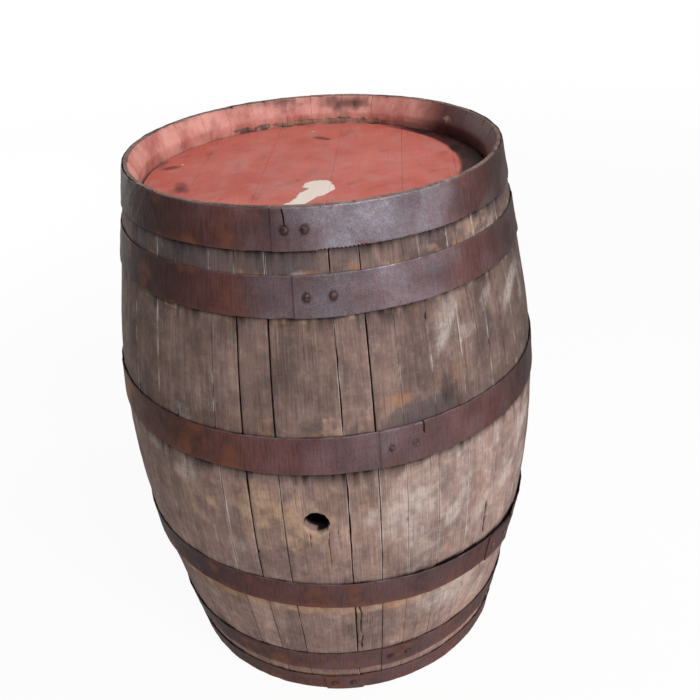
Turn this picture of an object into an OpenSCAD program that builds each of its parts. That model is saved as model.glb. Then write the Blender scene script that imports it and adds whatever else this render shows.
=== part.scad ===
// Wooden stave cask, standing on end, held together by six riveted steel hoops.
// The staves are bent and have radial joints, a bevelled chime and a croze groove
// at each end. A doweled head of six boards sits in each croze. The bung is missing.
// Origin: centre of the lower stave ends. +Z is up and the bung hole faces -Y.
// Azimuths are measured from the bung hole, positive towards +X.

/* [Cask] */
// Height over the stave ends
cask_h = 900; // [700:5:1100]
// Outer diameter of the wood at the stave ends
chime_d = 578; // [480:1:700]
// Outer diameter of the wood at the middle
bilge_d = 703; // [580:1:850]
// Height of the middle stretch that is bent to an arc
bend_h = 480; // [300:10:600]

/* [Staves] */
// Number of staves, the bung stave included
stave_count = 34; // [28:1:36]
// Thickness of a stave
stave_t = 25; // [20:0.5:32]
// Width of the bung stave, round the bilge
bung_stave_w = 98; // [80:1:120]
// Widths of the next four staves on the +X side, round the bilge
right_widths = [47, 43, 53, 57]; // [35:1:80]
// Widths of the next four staves on the -X side, round the bilge
left_widths = [50, 44, 70, 44]; // [35:1:80]
// How far the other staves differ in width
width_spread = 0.16; // [0:0.01:0.3]
// Gap at a tight joint, round the bilge
joint_gap = 0.4; // [0.2:0.1:1]
// Gap at the joints beside the bung stave, which have dried open
open_joint_gap = 1.6; // [0.4:0.1:3]

/* [Chime and croze] */
// Width of the flat land on a stave end
chime_land = 6; // [3:0.5:12]
// Height of the bevel inside a stave end
chime_bevel_h = 30; // [15:1:36]
// Distance from a stave end to the middle of the croze groove
croze_rise = 60; // [50:1:90]
// Width of the croze groove
croze_w = 6; // [4:0.5:10]
// Depth of the croze groove
croze_depth = 7; // [4:0.5:9]

/* [Heads] */
// Thickness of a head
head_t = 24; // [18:1:30]
// Thickness of the lip round a head, which sits in the croze
head_lip_t = 5.4; // [3:0.1:9]
// Width of the bevel on a head's outer face
head_bevel_out = 5; // [2:1:20]
// Width of the bevel on a head's inner face
head_bevel_in = 26; // [10:1:40]
// Clearance between a head and the bottom of its croze
head_clearance = 0.3; // [0.1:0.1:1]
// Relative widths of the head boards, from -X to +X
board_shares = [95, 105, 111, 108, 82, 61]; // 50 to 130 each
// Gap between two head boards
board_gap = 0.3; // [0.1:0.1:1]
// Diameter of a head dowel
dowel_d = 9; // [6:0.5:12]
// Length of a head dowel
dowel_l = 44; // [30:1:48]
// Clearance round a head dowel
dowel_clearance = 0.1; // [0.05:0.05:0.3]

/* [Bung hole] */
// Diameter of the bung hole
bung_d = 39; // [30:1:60]
// Distance from the middle of the cask down to the bung hole
bung_drop = 18; // [0:1:40]

/* [Hoops] */
// Thickness of a hoop's steel strip
hoop_t = 2; // [1:0.1:3]
// Clearance between a tight hoop and the staves
hoop_clearance = 0.3; // [0.1:0.1:1]
// Clearance between the two layers of a lap
lap_clearance = 0.2; // [0.1:0.1:0.5]
// Length of strip beyond a lap's second rivet
lap_tail = 16; // [12:1:40]
// Length of the step at the start of a lap
joggle_l = 3; // [2:0.5:8]
// Gap between the step and the strip's inner end
strip_end_gap = 1; // [0.5:0.5:4]

/* [Upper hoops] */
// Width of the upper chime hoop
top_chime_w = 55; // [35:1:60]
// Distance from the stave ends to the upper chime hoop
top_chime_drop = 1; // [0.5:0.5:6]
// Width of the upper quarter hoop
top_quarter_w = 57; // [35:1:65]
// Distance from the stave ends to the upper quarter hoop
top_quarter_drop = 88; // [70:1:110]
// Width of the upper bilge hoop
top_bilge_w = 60; // [35:1:70]
// Distance from the middle of the cask up to the upper bilge hoop
top_bilge_rise = 71; // [45:1:100]
// Length of the tear in the upper chime hoop
tear_l = 26; // [5:1:35]
// Width of the tear in the upper chime hoop
tear_w = 2.4; // [1:0.1:5]
// Azimuth of the tear in the upper chime hoop
tear_azimuth = -2.9; // [-180:0.1:180]
// Depth of the notch in the upper bilge hoop
notch_l = 15; // [4:1:25]
// Width of the notch in the upper bilge hoop
notch_w = 2; // [1:0.1:5]

/* [Lower hoops] */
// Width of the lower bilge hoop, which has come loose
low_bilge_w = 54; // [35:1:70]
// Distance from the middle of the cask down to the loose hoop's upper edge
low_bilge_drop = 164; // [120:1:190]
// Angle by which the loose hoop hangs out of level
loose_tilt = 3.6; // [0:0.1:5]
// Azimuth towards which the loose hoop hangs lower
loose_azimuth = 141; // [-180:1:180]
// Width of the lower quarter hoop
low_quarter_w = 48; // [35:1:65]
// Distance from the stave ends to the lower quarter hoop
low_quarter_rise = 62; // [50:1:90]
// Width of the lower chime hoop
low_chime_w = 39; // [25:1:45]
// Distance from the stave ends to the lower chime hoop
low_chime_rise = 1.5; // [0.5:0.5:6]

/* [Rivets] */
// Diameter of a rivet's head
rivet_head_d = 10; // [7:0.5:14]
// Height of a rivet's head
rivet_head_h = 3; // [1.5:0.1:4]
// Diameter of a rivet's shank
rivet_d = 5; // [3:0.5:6]
// Clearance round a rivet's shank
rivet_clearance = 0.1; // [0.05:0.05:0.3]
// Distance from a strip's outer end to the first rivet
rivet_edge = 15; // [10:1:20]

/* [Hidden] */
mid_z = cask_h / 2;
end_r = chime_d / 2;
bilge_r = bilge_d / 2;
far = 2 * bilge_r;
cut = 1;
fine = 180;
round_fn = 64;

// Outline of the staves: an arc over bend_h, with straight tangents to the ends.
half_bend = bend_h / 2;
function half_turn(step) =
    step == 0 ? 0
    : (bilge_r - end_r) / (half_bend + (cask_h - bend_h) / (1 - pow(half_turn(step - 1), 2)));
bend_tan = half_turn(6);
end_slope = 2 * atan(bend_tan);
bend_r = half_bend / sin(end_slope);
tangent_r = bilge_r - half_bend * bend_tan;

function outline_r(z) =
    let (from_mid = abs(z - mid_z))
    from_mid <= half_bend ? bilge_r - bend_r + sqrt(pow(bend_r, 2) - pow(from_mid, 2))
    : tangent_r - (from_mid - half_bend) * tan(end_slope);

function outline_slope(z) =
    let (from_mid = z - mid_z)
    abs(from_mid) <= half_bend ? asin(from_mid / bend_r) : sign(from_mid) * end_slope;

// Shares of the bilge that the staves take, starting at the bung stave.
function bilge_deg(mm) = mm / bilge_r * 180 / PI;
function sum(list) = concat([0], list) * concat([0], [for (item = list) 1]);
last = stave_count - 1;
named_side = len(right_widths);
plain_shares = [for (i = [named_side + 1 : last - named_side]) 1 + width_spread * sin(137 * i)];
plain_total = 2 * PI * bilge_r - bung_stave_w - sum(right_widths) - sum(left_widths);
plain_unit = plain_total / sum(plain_shares);

function stave_width(i) =
    i == 0 ? bung_stave_w
    : i <= named_side ? right_widths[i - 1]
    : i > last - named_side ? left_widths[last - i]
    : plain_unit * plain_shares[i - named_side - 1];

stave_widths = [for (i = [0 : last]) stave_width(i)];
stave_starts = [
    for (i = [0 : stave_count]) bilge_deg(sum([for (k = [0 : 1 : i - 1]) stave_widths[k]]) - bung_stave_w / 2)
];

// The joints on both sides of the bung stave and of its neighbours are open.
function is_open_joint(i) = min(i, stave_count - i) <= 2;
function joint_half_gap(i) = bilge_deg(is_open_joint(i) ? open_joint_gap : joint_gap) / 2;

bung_z = mid_z - bung_drop;

// Heads
croze_r = outline_r(croze_rise) - stave_t + croze_depth;
head_r = croze_r - head_clearance;
head_tongue_r = outline_r(croze_rise - head_t / 2) - stave_t - head_clearance;
board_total = sum(board_shares);
board_count = len(board_shares);
board_unit = 2 * head_r / board_total;
board_edges = [
    for (i = [0 : board_count]) board_unit * sum([for (k = [0 : 1 : i - 1]) board_shares[k]]) - head_r
];
function dowel_y(joint) = 0.5 * sqrt(pow(head_r, 2) - pow(board_edges[joint], 2));

// Hoops: name, bottom edge, width, azimuth of the outer strip end,
// side on which that end lies (1: +X, -1: -X), rivet pitch, radial clearance and tilt.
low_bilge_z = mid_z - low_bilge_drop - low_bilge_w;
low_bilge_mid = low_bilge_z + low_bilge_w / 2;
loose_swing = outline_r(low_bilge_mid) * sin(loose_tilt);
function loose_need(rise) =
    outline_r(low_bilge_mid + rise + loose_swing)
    - outline_r(low_bilge_mid + rise) * cos(loose_tilt) + rise * sin(loose_tilt);
loose_clearance = hoop_clearance + max(loose_need(low_bilge_w / 2), loose_need(-low_bilge_w / 2));
HOOPS = [
    ["top_chime_hoop", cask_h - top_chime_drop - top_chime_w, top_chime_w, 5.5, 1, 26, hoop_clearance, 0],
    ["top_quarter_hoop", cask_h - top_quarter_drop - top_quarter_w, top_quarter_w, 11.1, 1, 35, hoop_clearance, 0],
    ["top_bilge_hoop", mid_z + top_bilge_rise, top_bilge_w, 27.6, 1, 36, hoop_clearance, 0],
    ["low_bilge_hoop", low_bilge_z, low_bilge_w, 50, -1, 41, loose_clearance, loose_tilt],
    ["low_quarter_hoop", low_quarter_rise, low_quarter_w, 15.5, -1, 31, hoop_clearance, 0],
    ["low_chime_hoop", low_chime_rise, low_chime_w, -3.4, -1, 32, hoop_clearance, 0],
];
function hoop_mid(h) = HOOPS[h][1] + HOOPS[h][2] / 2;
function hoop_deg(h, mm) = mm / outline_r(hoop_mid(h)) * 180 / PI;
function rivet_azimuth(h, k) = HOOPS[h][3] - HOOPS[h][4] * hoop_deg(h, rivet_edge + k * HOOPS[h][5]);

stave_oak = "#85766c";
bung_stave_oak = "#8f7f73";
head_paint = "#a9564a";
dowel_oak = "#b08a5e";
rusty_steel = "#5d4745";
rivet_steel = "#4a3b3a";

function stave_name(i) = i == 0 ? "bung_stave" : str("stave_", i < 10 ? "0" : "", i);
function board_name(end, i) = str(end, "_head_board_", i + 1);
ENDS = ["top", "bottom"];

// Section of the whole cask from the axis to the stave faces, moved out by offset_r.
module outline(offset_r) {
    intersection() {
        translate([bilge_r - bend_r + offset_r, mid_z]) circle(r = bend_r, $fn = 4 * fine);
        translate([0, mid_z - half_bend]) square([far, bend_h]);
    }
    polygon([
        [0, 0], [end_r + offset_r, 0],
        [tangent_r + offset_r, mid_z - half_bend], [0, mid_z - half_bend]
    ]);
    polygon([
        [0, mid_z + half_bend], [tangent_r + offset_r, mid_z + half_bend],
        [end_r + offset_r, cask_h], [0, cask_h]
    ]);
}

// Chime bevel and croze groove at the lower end of a stave's section.
module chime_cut() {
    bevel_r = outline_r(chime_bevel_h) - stave_t;
    rise = (end_r - chime_land - bevel_r) / chime_bevel_h;
    polygon([
        [0, -cut], [end_r - chime_land + cut * rise, -cut],
        [bevel_r, chime_bevel_h], [0, chime_bevel_h]
    ]);
    translate([0, croze_rise - croze_w / 2]) square([croze_r, croze_w]);
}

module stave_section() {
    difference() {
        outline(0);
        outline(-stave_t);
        chime_cut();
        translate([0, cask_h]) mirror([0, 1]) chime_cut();
    }
}

module stave(i) {
    start = stave_starts[i] + joint_half_gap(i);
    end = stave_starts[i + 1] - joint_half_gap(i + 1);
    color(stave_oak) rotate([0, 0, start - 90]) rotate_extrude(angle = end - start, $fn = fine) stave_section();
}

module bung_stave() {
    color(bung_stave_oak) difference() {
        stave(0);
        translate([0, 0, bung_z]) rotate([90, 0, 0]) cylinder(d = bung_d, h = far, $fn = round_fn);
    }
}

// A head lies with its outer face up, and its lip is centred on z = 0.
module head_section() {
    polygon([
        [0, -head_t / 2], [head_tongue_r - head_bevel_in, -head_t / 2], [head_tongue_r, -head_lip_t / 2],
        [head_r, -head_lip_t / 2], [head_r, head_lip_t / 2], [head_tongue_r, head_lip_t / 2],
        [head_tongue_r - head_bevel_out, head_t / 2], [0, head_t / 2]
    ]);
}

module dowel_row(joint, d, l) {
    for (side = [-1, 1])
        translate([board_edges[joint] - l / 2, side * dowel_y(joint), 0])
            rotate([0, 90, 0]) cylinder(d = d, h = l, $fn = round_fn);
}

module head_board(i) {
    low = board_edges[i] + (i == 0 ? -cut : board_gap / 2);
    high = board_edges[i + 1] - (i == board_count - 1 ? -cut : board_gap / 2);
    difference() {
        intersection() {
            rotate_extrude($fn = fine) head_section();
            translate([low, -head_r - cut, -head_t]) cube([high - low, 2 * (head_r + cut), 2 * head_t]);
        }
        for (joint = [max(i, 1) : min(i + 1, board_count - 1)])
            dowel_row(joint, dowel_d + 2 * dowel_clearance, dowel_l + 2 * dowel_clearance);
    }
}

module head_dowels() {
    for (joint = [1 : board_count - 1]) dowel_row(joint, dowel_d, dowel_l);
}

// Places a head's pieces in the croze at one end of the cask.
module at_end(end) {
    if (end == "top") translate([0, 0, cask_h - croze_rise]) children();
    else translate([0, 0, croze_rise]) mirror([0, 0, 1]) children();
}

// One layer of strip, from azimuth start over turn degrees. Its section is straight
// and lies between the offsets low and high from the staves' fullest point.
module strip(h, low, high, start, turn, spare = 0) {
    bottom = HOOPS[h][1] - spare;
    top = HOOPS[h][1] + HOOPS[h][2] + spare;
    bulge = outline_r(hoop_mid(h)) - (outline_r(bottom) + outline_r(top)) / 2;
    bottom_r = outline_r(bottom) + bulge;
    top_r = outline_r(top) + bulge;
    rotate([0, 0, start - 90]) rotate_extrude(angle = turn, $fn = fine)
        polygon([[bottom_r + low, bottom], [bottom_r + high, bottom], [top_r + high, top], [top_r + low, top]]);
}

module tilted(z, angle) {
    translate([0, 0, z]) rotate([0, 0, loose_azimuth - 90]) rotate([0, angle, 0])
        rotate([0, 0, 90 - loose_azimuth]) translate([0, 0, -z]) children();
}

// Places a part with its base on a lap's outer face and its axis square to the strip.
module at_rivet(h, k) {
    slope = outline_slope(hoop_mid(h));
    face_r = outline_r(hoop_mid(h)) + HOOPS[h][6] + 2 * hoop_t + lap_clearance;
    tilted(hoop_mid(h), HOOPS[h][7])
        rotate([0, 0, rivet_azimuth(h, k)]) translate([0, -face_r, hoop_mid(h)])
            rotate([90 - slope, 0, 0]) children();
}

// A hoop is one strip. Its outer end steps out and laps over its inner end.
module hoop(h) {
    side = HOOPS[h][4];
    gap = HOOPS[h][6];
    lap = hoop_deg(h, rivet_edge + HOOPS[h][5] + lap_tail);
    joggle = hoop_deg(h, joggle_l);
    end_gap = hoop_deg(h, strip_end_gap);
    lap_start = side * HOOPS[h][3] - lap;
    lap_r = gap + hoop_t + lap_clearance;
    color(rusty_steel) difference() {
        tilted(hoop_mid(h), HOOPS[h][7]) mirror([side > 0 ? 0 : 1, 0, 0]) {
            difference() {
                strip(h, gap, gap + hoop_t, 90, 360);
                strip(h, gap - cut, gap + hoop_t + cut, lap_start, end_gap, cut);
            }
            strip(h, gap + hoop_t / 2, lap_r + hoop_t / 2, lap_start - joggle, joggle - end_gap / 4);
            strip(h, lap_r, lap_r + hoop_t, lap_start - joggle / 2, lap + joggle / 2);
        }
        for (k = [0, 1])
            at_rivet(h, k) translate([0, 0, -4 * hoop_t])
                cylinder(d = rivet_d + 2 * rivet_clearance, h = 8 * hoop_t, $fn = round_fn);
    }
}

module top_chime_hoop() {
    color(rusty_steel) difference() {
        hoop(0);
        rotate([0, 0, tear_azimuth]) translate([0, -end_r, cask_h - top_chime_drop]) rotate([0, -6, 0])
            translate([-tear_w / 2, -hoop_t * 5, -tear_l]) cube([tear_w, hoop_t * 10, 2 * tear_l]);
    }
}

// The notch has opened at the end of the lap.
module top_bilge_hoop() {
    top = hoop_mid(2) + top_bilge_w / 2;
    color(rusty_steel) difference() {
        hoop(2);
        rotate([0, 0, HOOPS[2][3]]) translate([-notch_w, -outline_r(top) - hoop_t * 4, top - notch_l])
            cube([notch_w, hoop_t * 8, 2 * notch_l]);
    }
}

module rivet() {
    head_curve = (pow(rivet_head_d / 2, 2) + pow(rivet_head_h, 2)) / (2 * rivet_head_h);
    rotate_extrude($fn = round_fn) {
        intersection() {
            translate([0, rivet_head_h - head_curve]) circle(r = head_curve, $fn = round_fn);
            translate([0, lap_clearance / 2]) square([rivet_head_d, rivet_head_h]);
        }
        translate([0, -2 * hoop_t - lap_clearance]) square([rivet_d / 2, 2 * hoop_t + 2 * lap_clearance]);
    }
}

module hoop_rivets() {
    color(rivet_steel) for (h = [0 : len(HOOPS) - 1]) for (k = [0, 1]) at_rivet(h, k) rivet();
}

bung_stave();
for (i = [1 : last]) stave(i);
for (end = ENDS) for (i = [0 : board_count - 1])
    color(head_paint) at_end(end) head_board(i);
for (end = ENDS)
    color(dowel_oak) at_end(end) head_dowels();
top_chime_hoop();
hoop(1);  // top_quarter_hoop
top_bilge_hoop();
hoop(3);  // low_bilge_hoop
hoop(4);  // low_quarter_hoop
hoop(5);  // low_chime_hoop
hoop_rivets();
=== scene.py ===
"""Visual model of a weathered wooden stave cask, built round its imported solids.

Lengths in this file are in millimetres and become metres when a mesh is written.
Azimuths are in degrees, measured from the bung hole and positive towards +X.
"""

import logging
import math
from dataclasses import dataclass
from enum import Enum
from typing import ClassVar

import bpy
import numpy as np
from mathutils import Matrix, Vector


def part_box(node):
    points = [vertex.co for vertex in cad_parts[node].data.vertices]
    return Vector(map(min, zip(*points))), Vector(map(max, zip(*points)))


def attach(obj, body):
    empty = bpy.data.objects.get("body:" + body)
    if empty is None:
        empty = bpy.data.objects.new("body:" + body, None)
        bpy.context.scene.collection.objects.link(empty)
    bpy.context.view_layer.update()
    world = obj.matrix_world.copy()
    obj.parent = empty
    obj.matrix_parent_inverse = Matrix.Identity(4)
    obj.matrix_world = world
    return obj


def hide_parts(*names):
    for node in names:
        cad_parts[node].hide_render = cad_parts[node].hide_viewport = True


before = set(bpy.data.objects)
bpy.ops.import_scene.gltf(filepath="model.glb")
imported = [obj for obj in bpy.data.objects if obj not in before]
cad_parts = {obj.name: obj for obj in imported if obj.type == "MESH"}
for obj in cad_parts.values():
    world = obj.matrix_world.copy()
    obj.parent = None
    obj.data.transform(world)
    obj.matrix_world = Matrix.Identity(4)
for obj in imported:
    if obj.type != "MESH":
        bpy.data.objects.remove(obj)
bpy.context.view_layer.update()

LOG = logging.getLogger("cask")
MM = 0.001
BODY = "root"
FULL_LENGTH_STAVES = (0, 9, 17, 26)
BUNG_Z = 432.0
FULL_TURN = 2.0 * math.pi
Array = np.ndarray
Piece = bpy.types.Object
Material = bpy.types.Material
NodeTree = bpy.types.NodeTree
Node = bpy.types.Node
Socket = bpy.types.NodeSocket
Colour = tuple[float, float, float, float]
WHITE: Colour = (1.0, 1.0, 1.0, 1.0)


def srgb(red: float, green: float, blue: float) -> Colour:
    """A colour written as display values of 0 to 255, as linear values with alpha."""
    shares = np.array([red, green, blue]) / 255.0
    linear = np.where(shares <= 0.04045, shares / 12.92, ((shares + 0.055) / 1.055) ** 2.4)
    return (*(float(v) for v in linear), 1.0)


# ---------------------------------------------------------------- fields on arrays


def smooth(value: Array, low: float, high: float) -> Array:
    """Rises from 0 at low to 1 at high along the cubic 3t^2 - 2t^3."""
    t = unit((value - low) / (high - low))
    return t * t * (3.0 - 2.0 * t)


def window(value: Array, low: float, high: float, soft: float) -> Array:
    """1 between low and high, falling to 0 over a width of twice soft at both ends."""
    return smooth(value, low - soft, low + soft) * (1.0 - smooth(value, high - soft, high + soft))


def hump(value: Array, centre: float, spread: float) -> Array:
    """The bell exp(-((value - centre) / spread)^2)."""
    return np.exp(-(((value - centre) / spread) ** 2))


def ripple(seed: int, *axes: tuple[Array, float], waves: int = 18) -> Array:
    """Smooth seeded noise of about unit spread.

    It is the sum of cosines of random phase, whose wave vectors are drawn from a
    normal distribution scaled by 2 pi over each axis's wavelength.

    Args:
        seed: Seed of the draw.
        axes: Pairs of a coordinate array and its typical wavelength.
        waves: Number of cosines.

    Returns:
        An array of the shape the coordinates broadcast to.
    """
    rng = np.random.default_rng(seed)
    phases = rng.uniform(0.0, FULL_TURN, waves)
    turns = rng.normal(0.0, 1.0, (waves, len(axes)))
    total = 0.0
    for phase, turn in zip(phases, turns):
        angle = sum(coord * (FULL_TURN / length * share) for (coord, length), share in zip(axes, turn))
        total = total + np.cos(angle + phase)
    return total / math.sqrt(waves / 2.0)


def cylindrical(azimuth: Array, radius: Array, height: Array) -> Array:
    """Points at r sin(azimuth), -r cos(azimuth) and the height."""
    turn = np.radians(azimuth)
    radius, height, turn = np.broadcast_arrays(radius, height, turn)
    return np.stack([radius * np.sin(turn), -radius * np.cos(turn), height], axis=-1)


def unit(value: Array) -> Array:
    """The value held between 0 and 1."""
    return np.clip(value, 0.0, 1.0)


def turn_from(azimuth: Array, origin: float) -> Array:
    """Angle in degrees from an origin to an azimuth, the short way round."""
    return (azimuth - origin + 180.0) % 360.0 - 180.0


def point_noise(seed: int, points: Array, length: float) -> Array:
    """Seeded noise over points, with one wavelength along all three axes."""
    return ripple(seed, *((points[:, i], length) for i in range(3)))


def azimuth_of(points: Array) -> Array:
    """Azimuth in degrees of each point, from -180 to 180."""
    return np.degrees(np.arctan2(points[..., 0], -points[..., 1]))


# ---------------------------------------------------------------- meshes


def lattice_quads(shape: tuple[int, int, int]) -> Array:
    """Quads of the six sides of a lattice of points, facing out.

    On the far side of each axis a quad runs along the next axis and then the one
    after it, which is counter-clockwise seen from outside where the three axes are
    right-handed. On the near side it runs the other way.
    """
    index = np.arange(int(np.prod(shape))).reshape(shape)
    sides = []
    for axis in range(3):
        turned = np.moveaxis(index, (axis, (axis + 1) % 3, (axis + 2) % 3), (0, 1, 2))
        for layer, near in ((turned[-1], False), (turned[0], True)):
            quads = np.stack([layer[:-1, :-1], layer[1:, :-1], layer[1:, 1:], layer[:-1, 1:]], axis=-1)
            quads = quads.reshape(-1, 4)
            sides.append(quads[:, ::-1] if near else quads)
    return np.concatenate(sides)


def add_object(name: str, data: object) -> Piece:
    """A new object with that data, linked to the scene."""
    item = bpy.data.objects.new(name, data)
    bpy.context.scene.collection.objects.link(item)
    return item


def write_mesh(name: str, points: Array, quads: Array, uv: Array | None = None) -> Piece:
    """Makes an object at the origin from points in millimetres and faces of four corners.

    Args:
        name: Name of the piece.
        points: Array of n points.
        quads: Array of m faces, as indices into the points.
        uv: Surface coordinates of the n points in metres, if the piece has them.

    Returns:
        The object, linked to the scene.
    """
    mesh = bpy.data.meshes.new(name)
    mesh.vertices.add(len(points))
    mesh.vertices.foreach_set("co", (points * MM).astype(np.float32).ravel())
    mesh.loops.add(quads.size)
    mesh.loops.foreach_set("vertex_index", quads.astype(np.int32).ravel())
    mesh.polygons.add(len(quads))
    mesh.polygons.foreach_set("loop_start", np.arange(0, quads.size, 4, dtype=np.int32))
    mesh.update(calc_edges=True)
    if uv is not None:
        layer = mesh.uv_layers.new(name="grain")
        layer.data.foreach_set("uv", uv[quads.ravel()].astype(np.float32).ravel())
    mesh.polygons.foreach_set("use_smooth", np.ones(len(quads), dtype=bool))
    return add_object(name, mesh)


def lattice_piece(name: str, points: Array, uv: Array | None = None) -> Piece:
    """Makes an object from the closed surface of a lattice of points.

    Args:
        name: Name of the piece.
        points: Array of shape (across, along, through, 3), in millimetres.
        uv: Surface coordinates of the same points in metres, if the piece has them.

    Returns:
        The object, linked to the scene.
    """
    quads = lattice_quads(points.shape[:3])
    used, welded = np.unique(quads, return_inverse=True)
    flat = points.reshape(-1, 3)[used]
    flat_uv = None if uv is None else uv.reshape(-1, 2)[used]
    return write_mesh(name, flat, welded.reshape(quads.shape), flat_uv)


def crease(piece: Piece, degrees: float) -> None:
    """Shades the piece smooth up to that angle between faces."""
    piece.data.set_sharp_from_angle(angle=math.radians(degrees))


def positions(piece: Piece) -> Array:
    """The piece's points, in millimetres."""
    flat = np.empty(len(piece.data.vertices) * 3, dtype=np.float32)
    piece.data.vertices.foreach_get("co", flat)
    return flat.reshape(-1, 3).astype(np.float64) / MM


def paint_points(piece: Piece, name: str, channels: list[Array]) -> None:
    """Stores four fields over the points as one named colour attribute.

    Args:
        piece: The object.
        name: Name of the attribute.
        channels: The four fields, of which the first has a value for each point.
    """
    values = np.stack([np.broadcast_to(c, channels[0].shape) for c in channels], axis=-1)
    layer = piece.data.attributes.new(name, "FLOAT_COLOR", "POINT")
    layer.data.foreach_set("color", values.astype(np.float32).ravel())


def carve(piece: Piece, cutter: Piece) -> None:
    """Takes the cutter's volume out of the piece, and removes the cutter."""
    modifier = piece.modifiers.new("carve", "BOOLEAN")
    modifier.operation = "DIFFERENCE"
    modifier.solver = "EXACT"
    modifier.object = cutter
    graph = bpy.context.evaluated_depsgraph_get()
    cut = bpy.data.meshes.new_from_object(piece.evaluated_get(graph), depsgraph=graph)
    piece.modifiers.clear()
    whole, piece.data = piece.data, cut
    bpy.data.meshes.remove(whole)
    cutter_mesh = cutter.data
    bpy.data.objects.remove(cutter)
    bpy.data.meshes.remove(cutter_mesh)


def place(piece: Piece, material: Material, slot: str, *nodes: str) -> None:
    """Dresses a finished piece, puts it on the body and in place of its solids, and reports it.

    Args:
        piece: The finished object.
        material: Its material.
        slot: The material slot of the record that it shows; not used.
        nodes: The solids that it stands for.
    """
    piece.data.materials.clear()
    piece.data.materials.append(material)
    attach(piece, BODY)
    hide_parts(*nodes)
    corners = np.array([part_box(node) for node in nodes])
    points = positions(piece) * MM
    spare = max(
        float((corners[:, 0].min(axis=0) - points.min(axis=0)).max()),
        float((points.max(axis=0) - corners[:, 1].max(axis=0)).max()),
    )
    LOG.info("%s: %d faces, %.2f mm past its solid's box", piece.name, len(piece.data.polygons), spare / MM)


# ---------------------------------------------------------------- the cask's outline and hoops


@dataclass(frozen=True)
class Outline:
    """Outer outline of the staves: an arc over the middle, with straight tangents to the ends."""

    height: float = 900.0
    end_r: float = 289.0
    bilge_r: float = 351.5
    bend_h: float = 480.0

    @property
    def half_turn(self) -> float:
        """Tangent of half the angle the outline turns through from the middle to an end."""
        turn = 0.0
        for _ in range(6):
            straight = (self.height - self.bend_h) / (1.0 - turn**2)
            turn = (self.bilge_r - self.end_r) / (self.bend_h / 2.0 + straight)
        return turn

    @property
    def end_slope(self) -> float:
        """Slope of the straight stretches, in radians."""
        return 2.0 * math.atan(self.half_turn)

    def radius(self, z: Array) -> Array:
        """Outer radius at a height: bilge_r - R + sqrt(R^2 - m^2) on the arc, m from the middle."""
        half = self.bend_h / 2.0
        arc_r = half / math.sin(self.end_slope)
        m = np.abs(np.asarray(z, dtype=float) - self.height / 2.0)
        arc = self.bilge_r - arc_r + np.sqrt(arc_r**2 - np.minimum(m, half) ** 2)
        return arc - np.maximum(m - half, 0.0) * math.tan(self.end_slope)

    def radius_at(self, z: float) -> float:
        """Outer radius at one height."""
        return float(self.radius(z))

    def slope(self, z: float) -> float:
        """Angle in radians by which the outline leans in towards the axis, going up."""
        half = self.bend_h / 2.0
        m = min(max(z - self.height / 2.0, -half), half)
        return math.asin(m * math.sin(self.end_slope) / half)


class Side(Enum):
    """The side to which a hoop's outer end points."""

    RIGHT = 1
    LEFT = -1


@dataclass(frozen=True)
class HoopSize:
    """Sizes and place of one hoop, as the solids have them."""

    node: str
    low: float
    width: float
    lap_end: float
    side: Side
    pitch: float
    clearance: float = 0.3
    tilt: float = 0.0
    tilt_azimuth: float = 141.0

    @property
    def middle(self) -> float:
        """Height of the hoop's mid line."""
        return self.low + self.width / 2.0

    @property
    def high(self) -> float:
        """Height of the hoop's upper edge."""
        return self.low + self.width

    def rise(self, azimuth: Array, radius: float) -> Array:
        """How far the hoop stands above its mean height at an azimuth, where it hangs out of level."""
        return -radius * math.sin(math.radians(self.tilt)) * np.cos(np.radians(azimuth - self.tilt_azimuth))


HOOPS = (
    HoopSize("top_chime_hoop", 844.0, 55.0, 5.5, Side.RIGHT, 26.0),
    HoopSize("top_quarter_hoop", 755.0, 57.0, 11.1, Side.RIGHT, 35.0),
    HoopSize("top_bilge_hoop", 521.0, 60.0, 27.6, Side.RIGHT, 36.0),
    HoopSize("low_bilge_hoop", 232.0, 54.0, 50.0, Side.LEFT, 41.0, 4.2, 3.6),
    HoopSize("low_quarter_hoop", 62.0, 48.0, 15.5, Side.LEFT, 31.0),
    HoopSize("low_chime_hoop", 1.5, 39.0, -3.4, Side.LEFT, 32.0),
)


# ---------------------------------------------------------------- node trees


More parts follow.
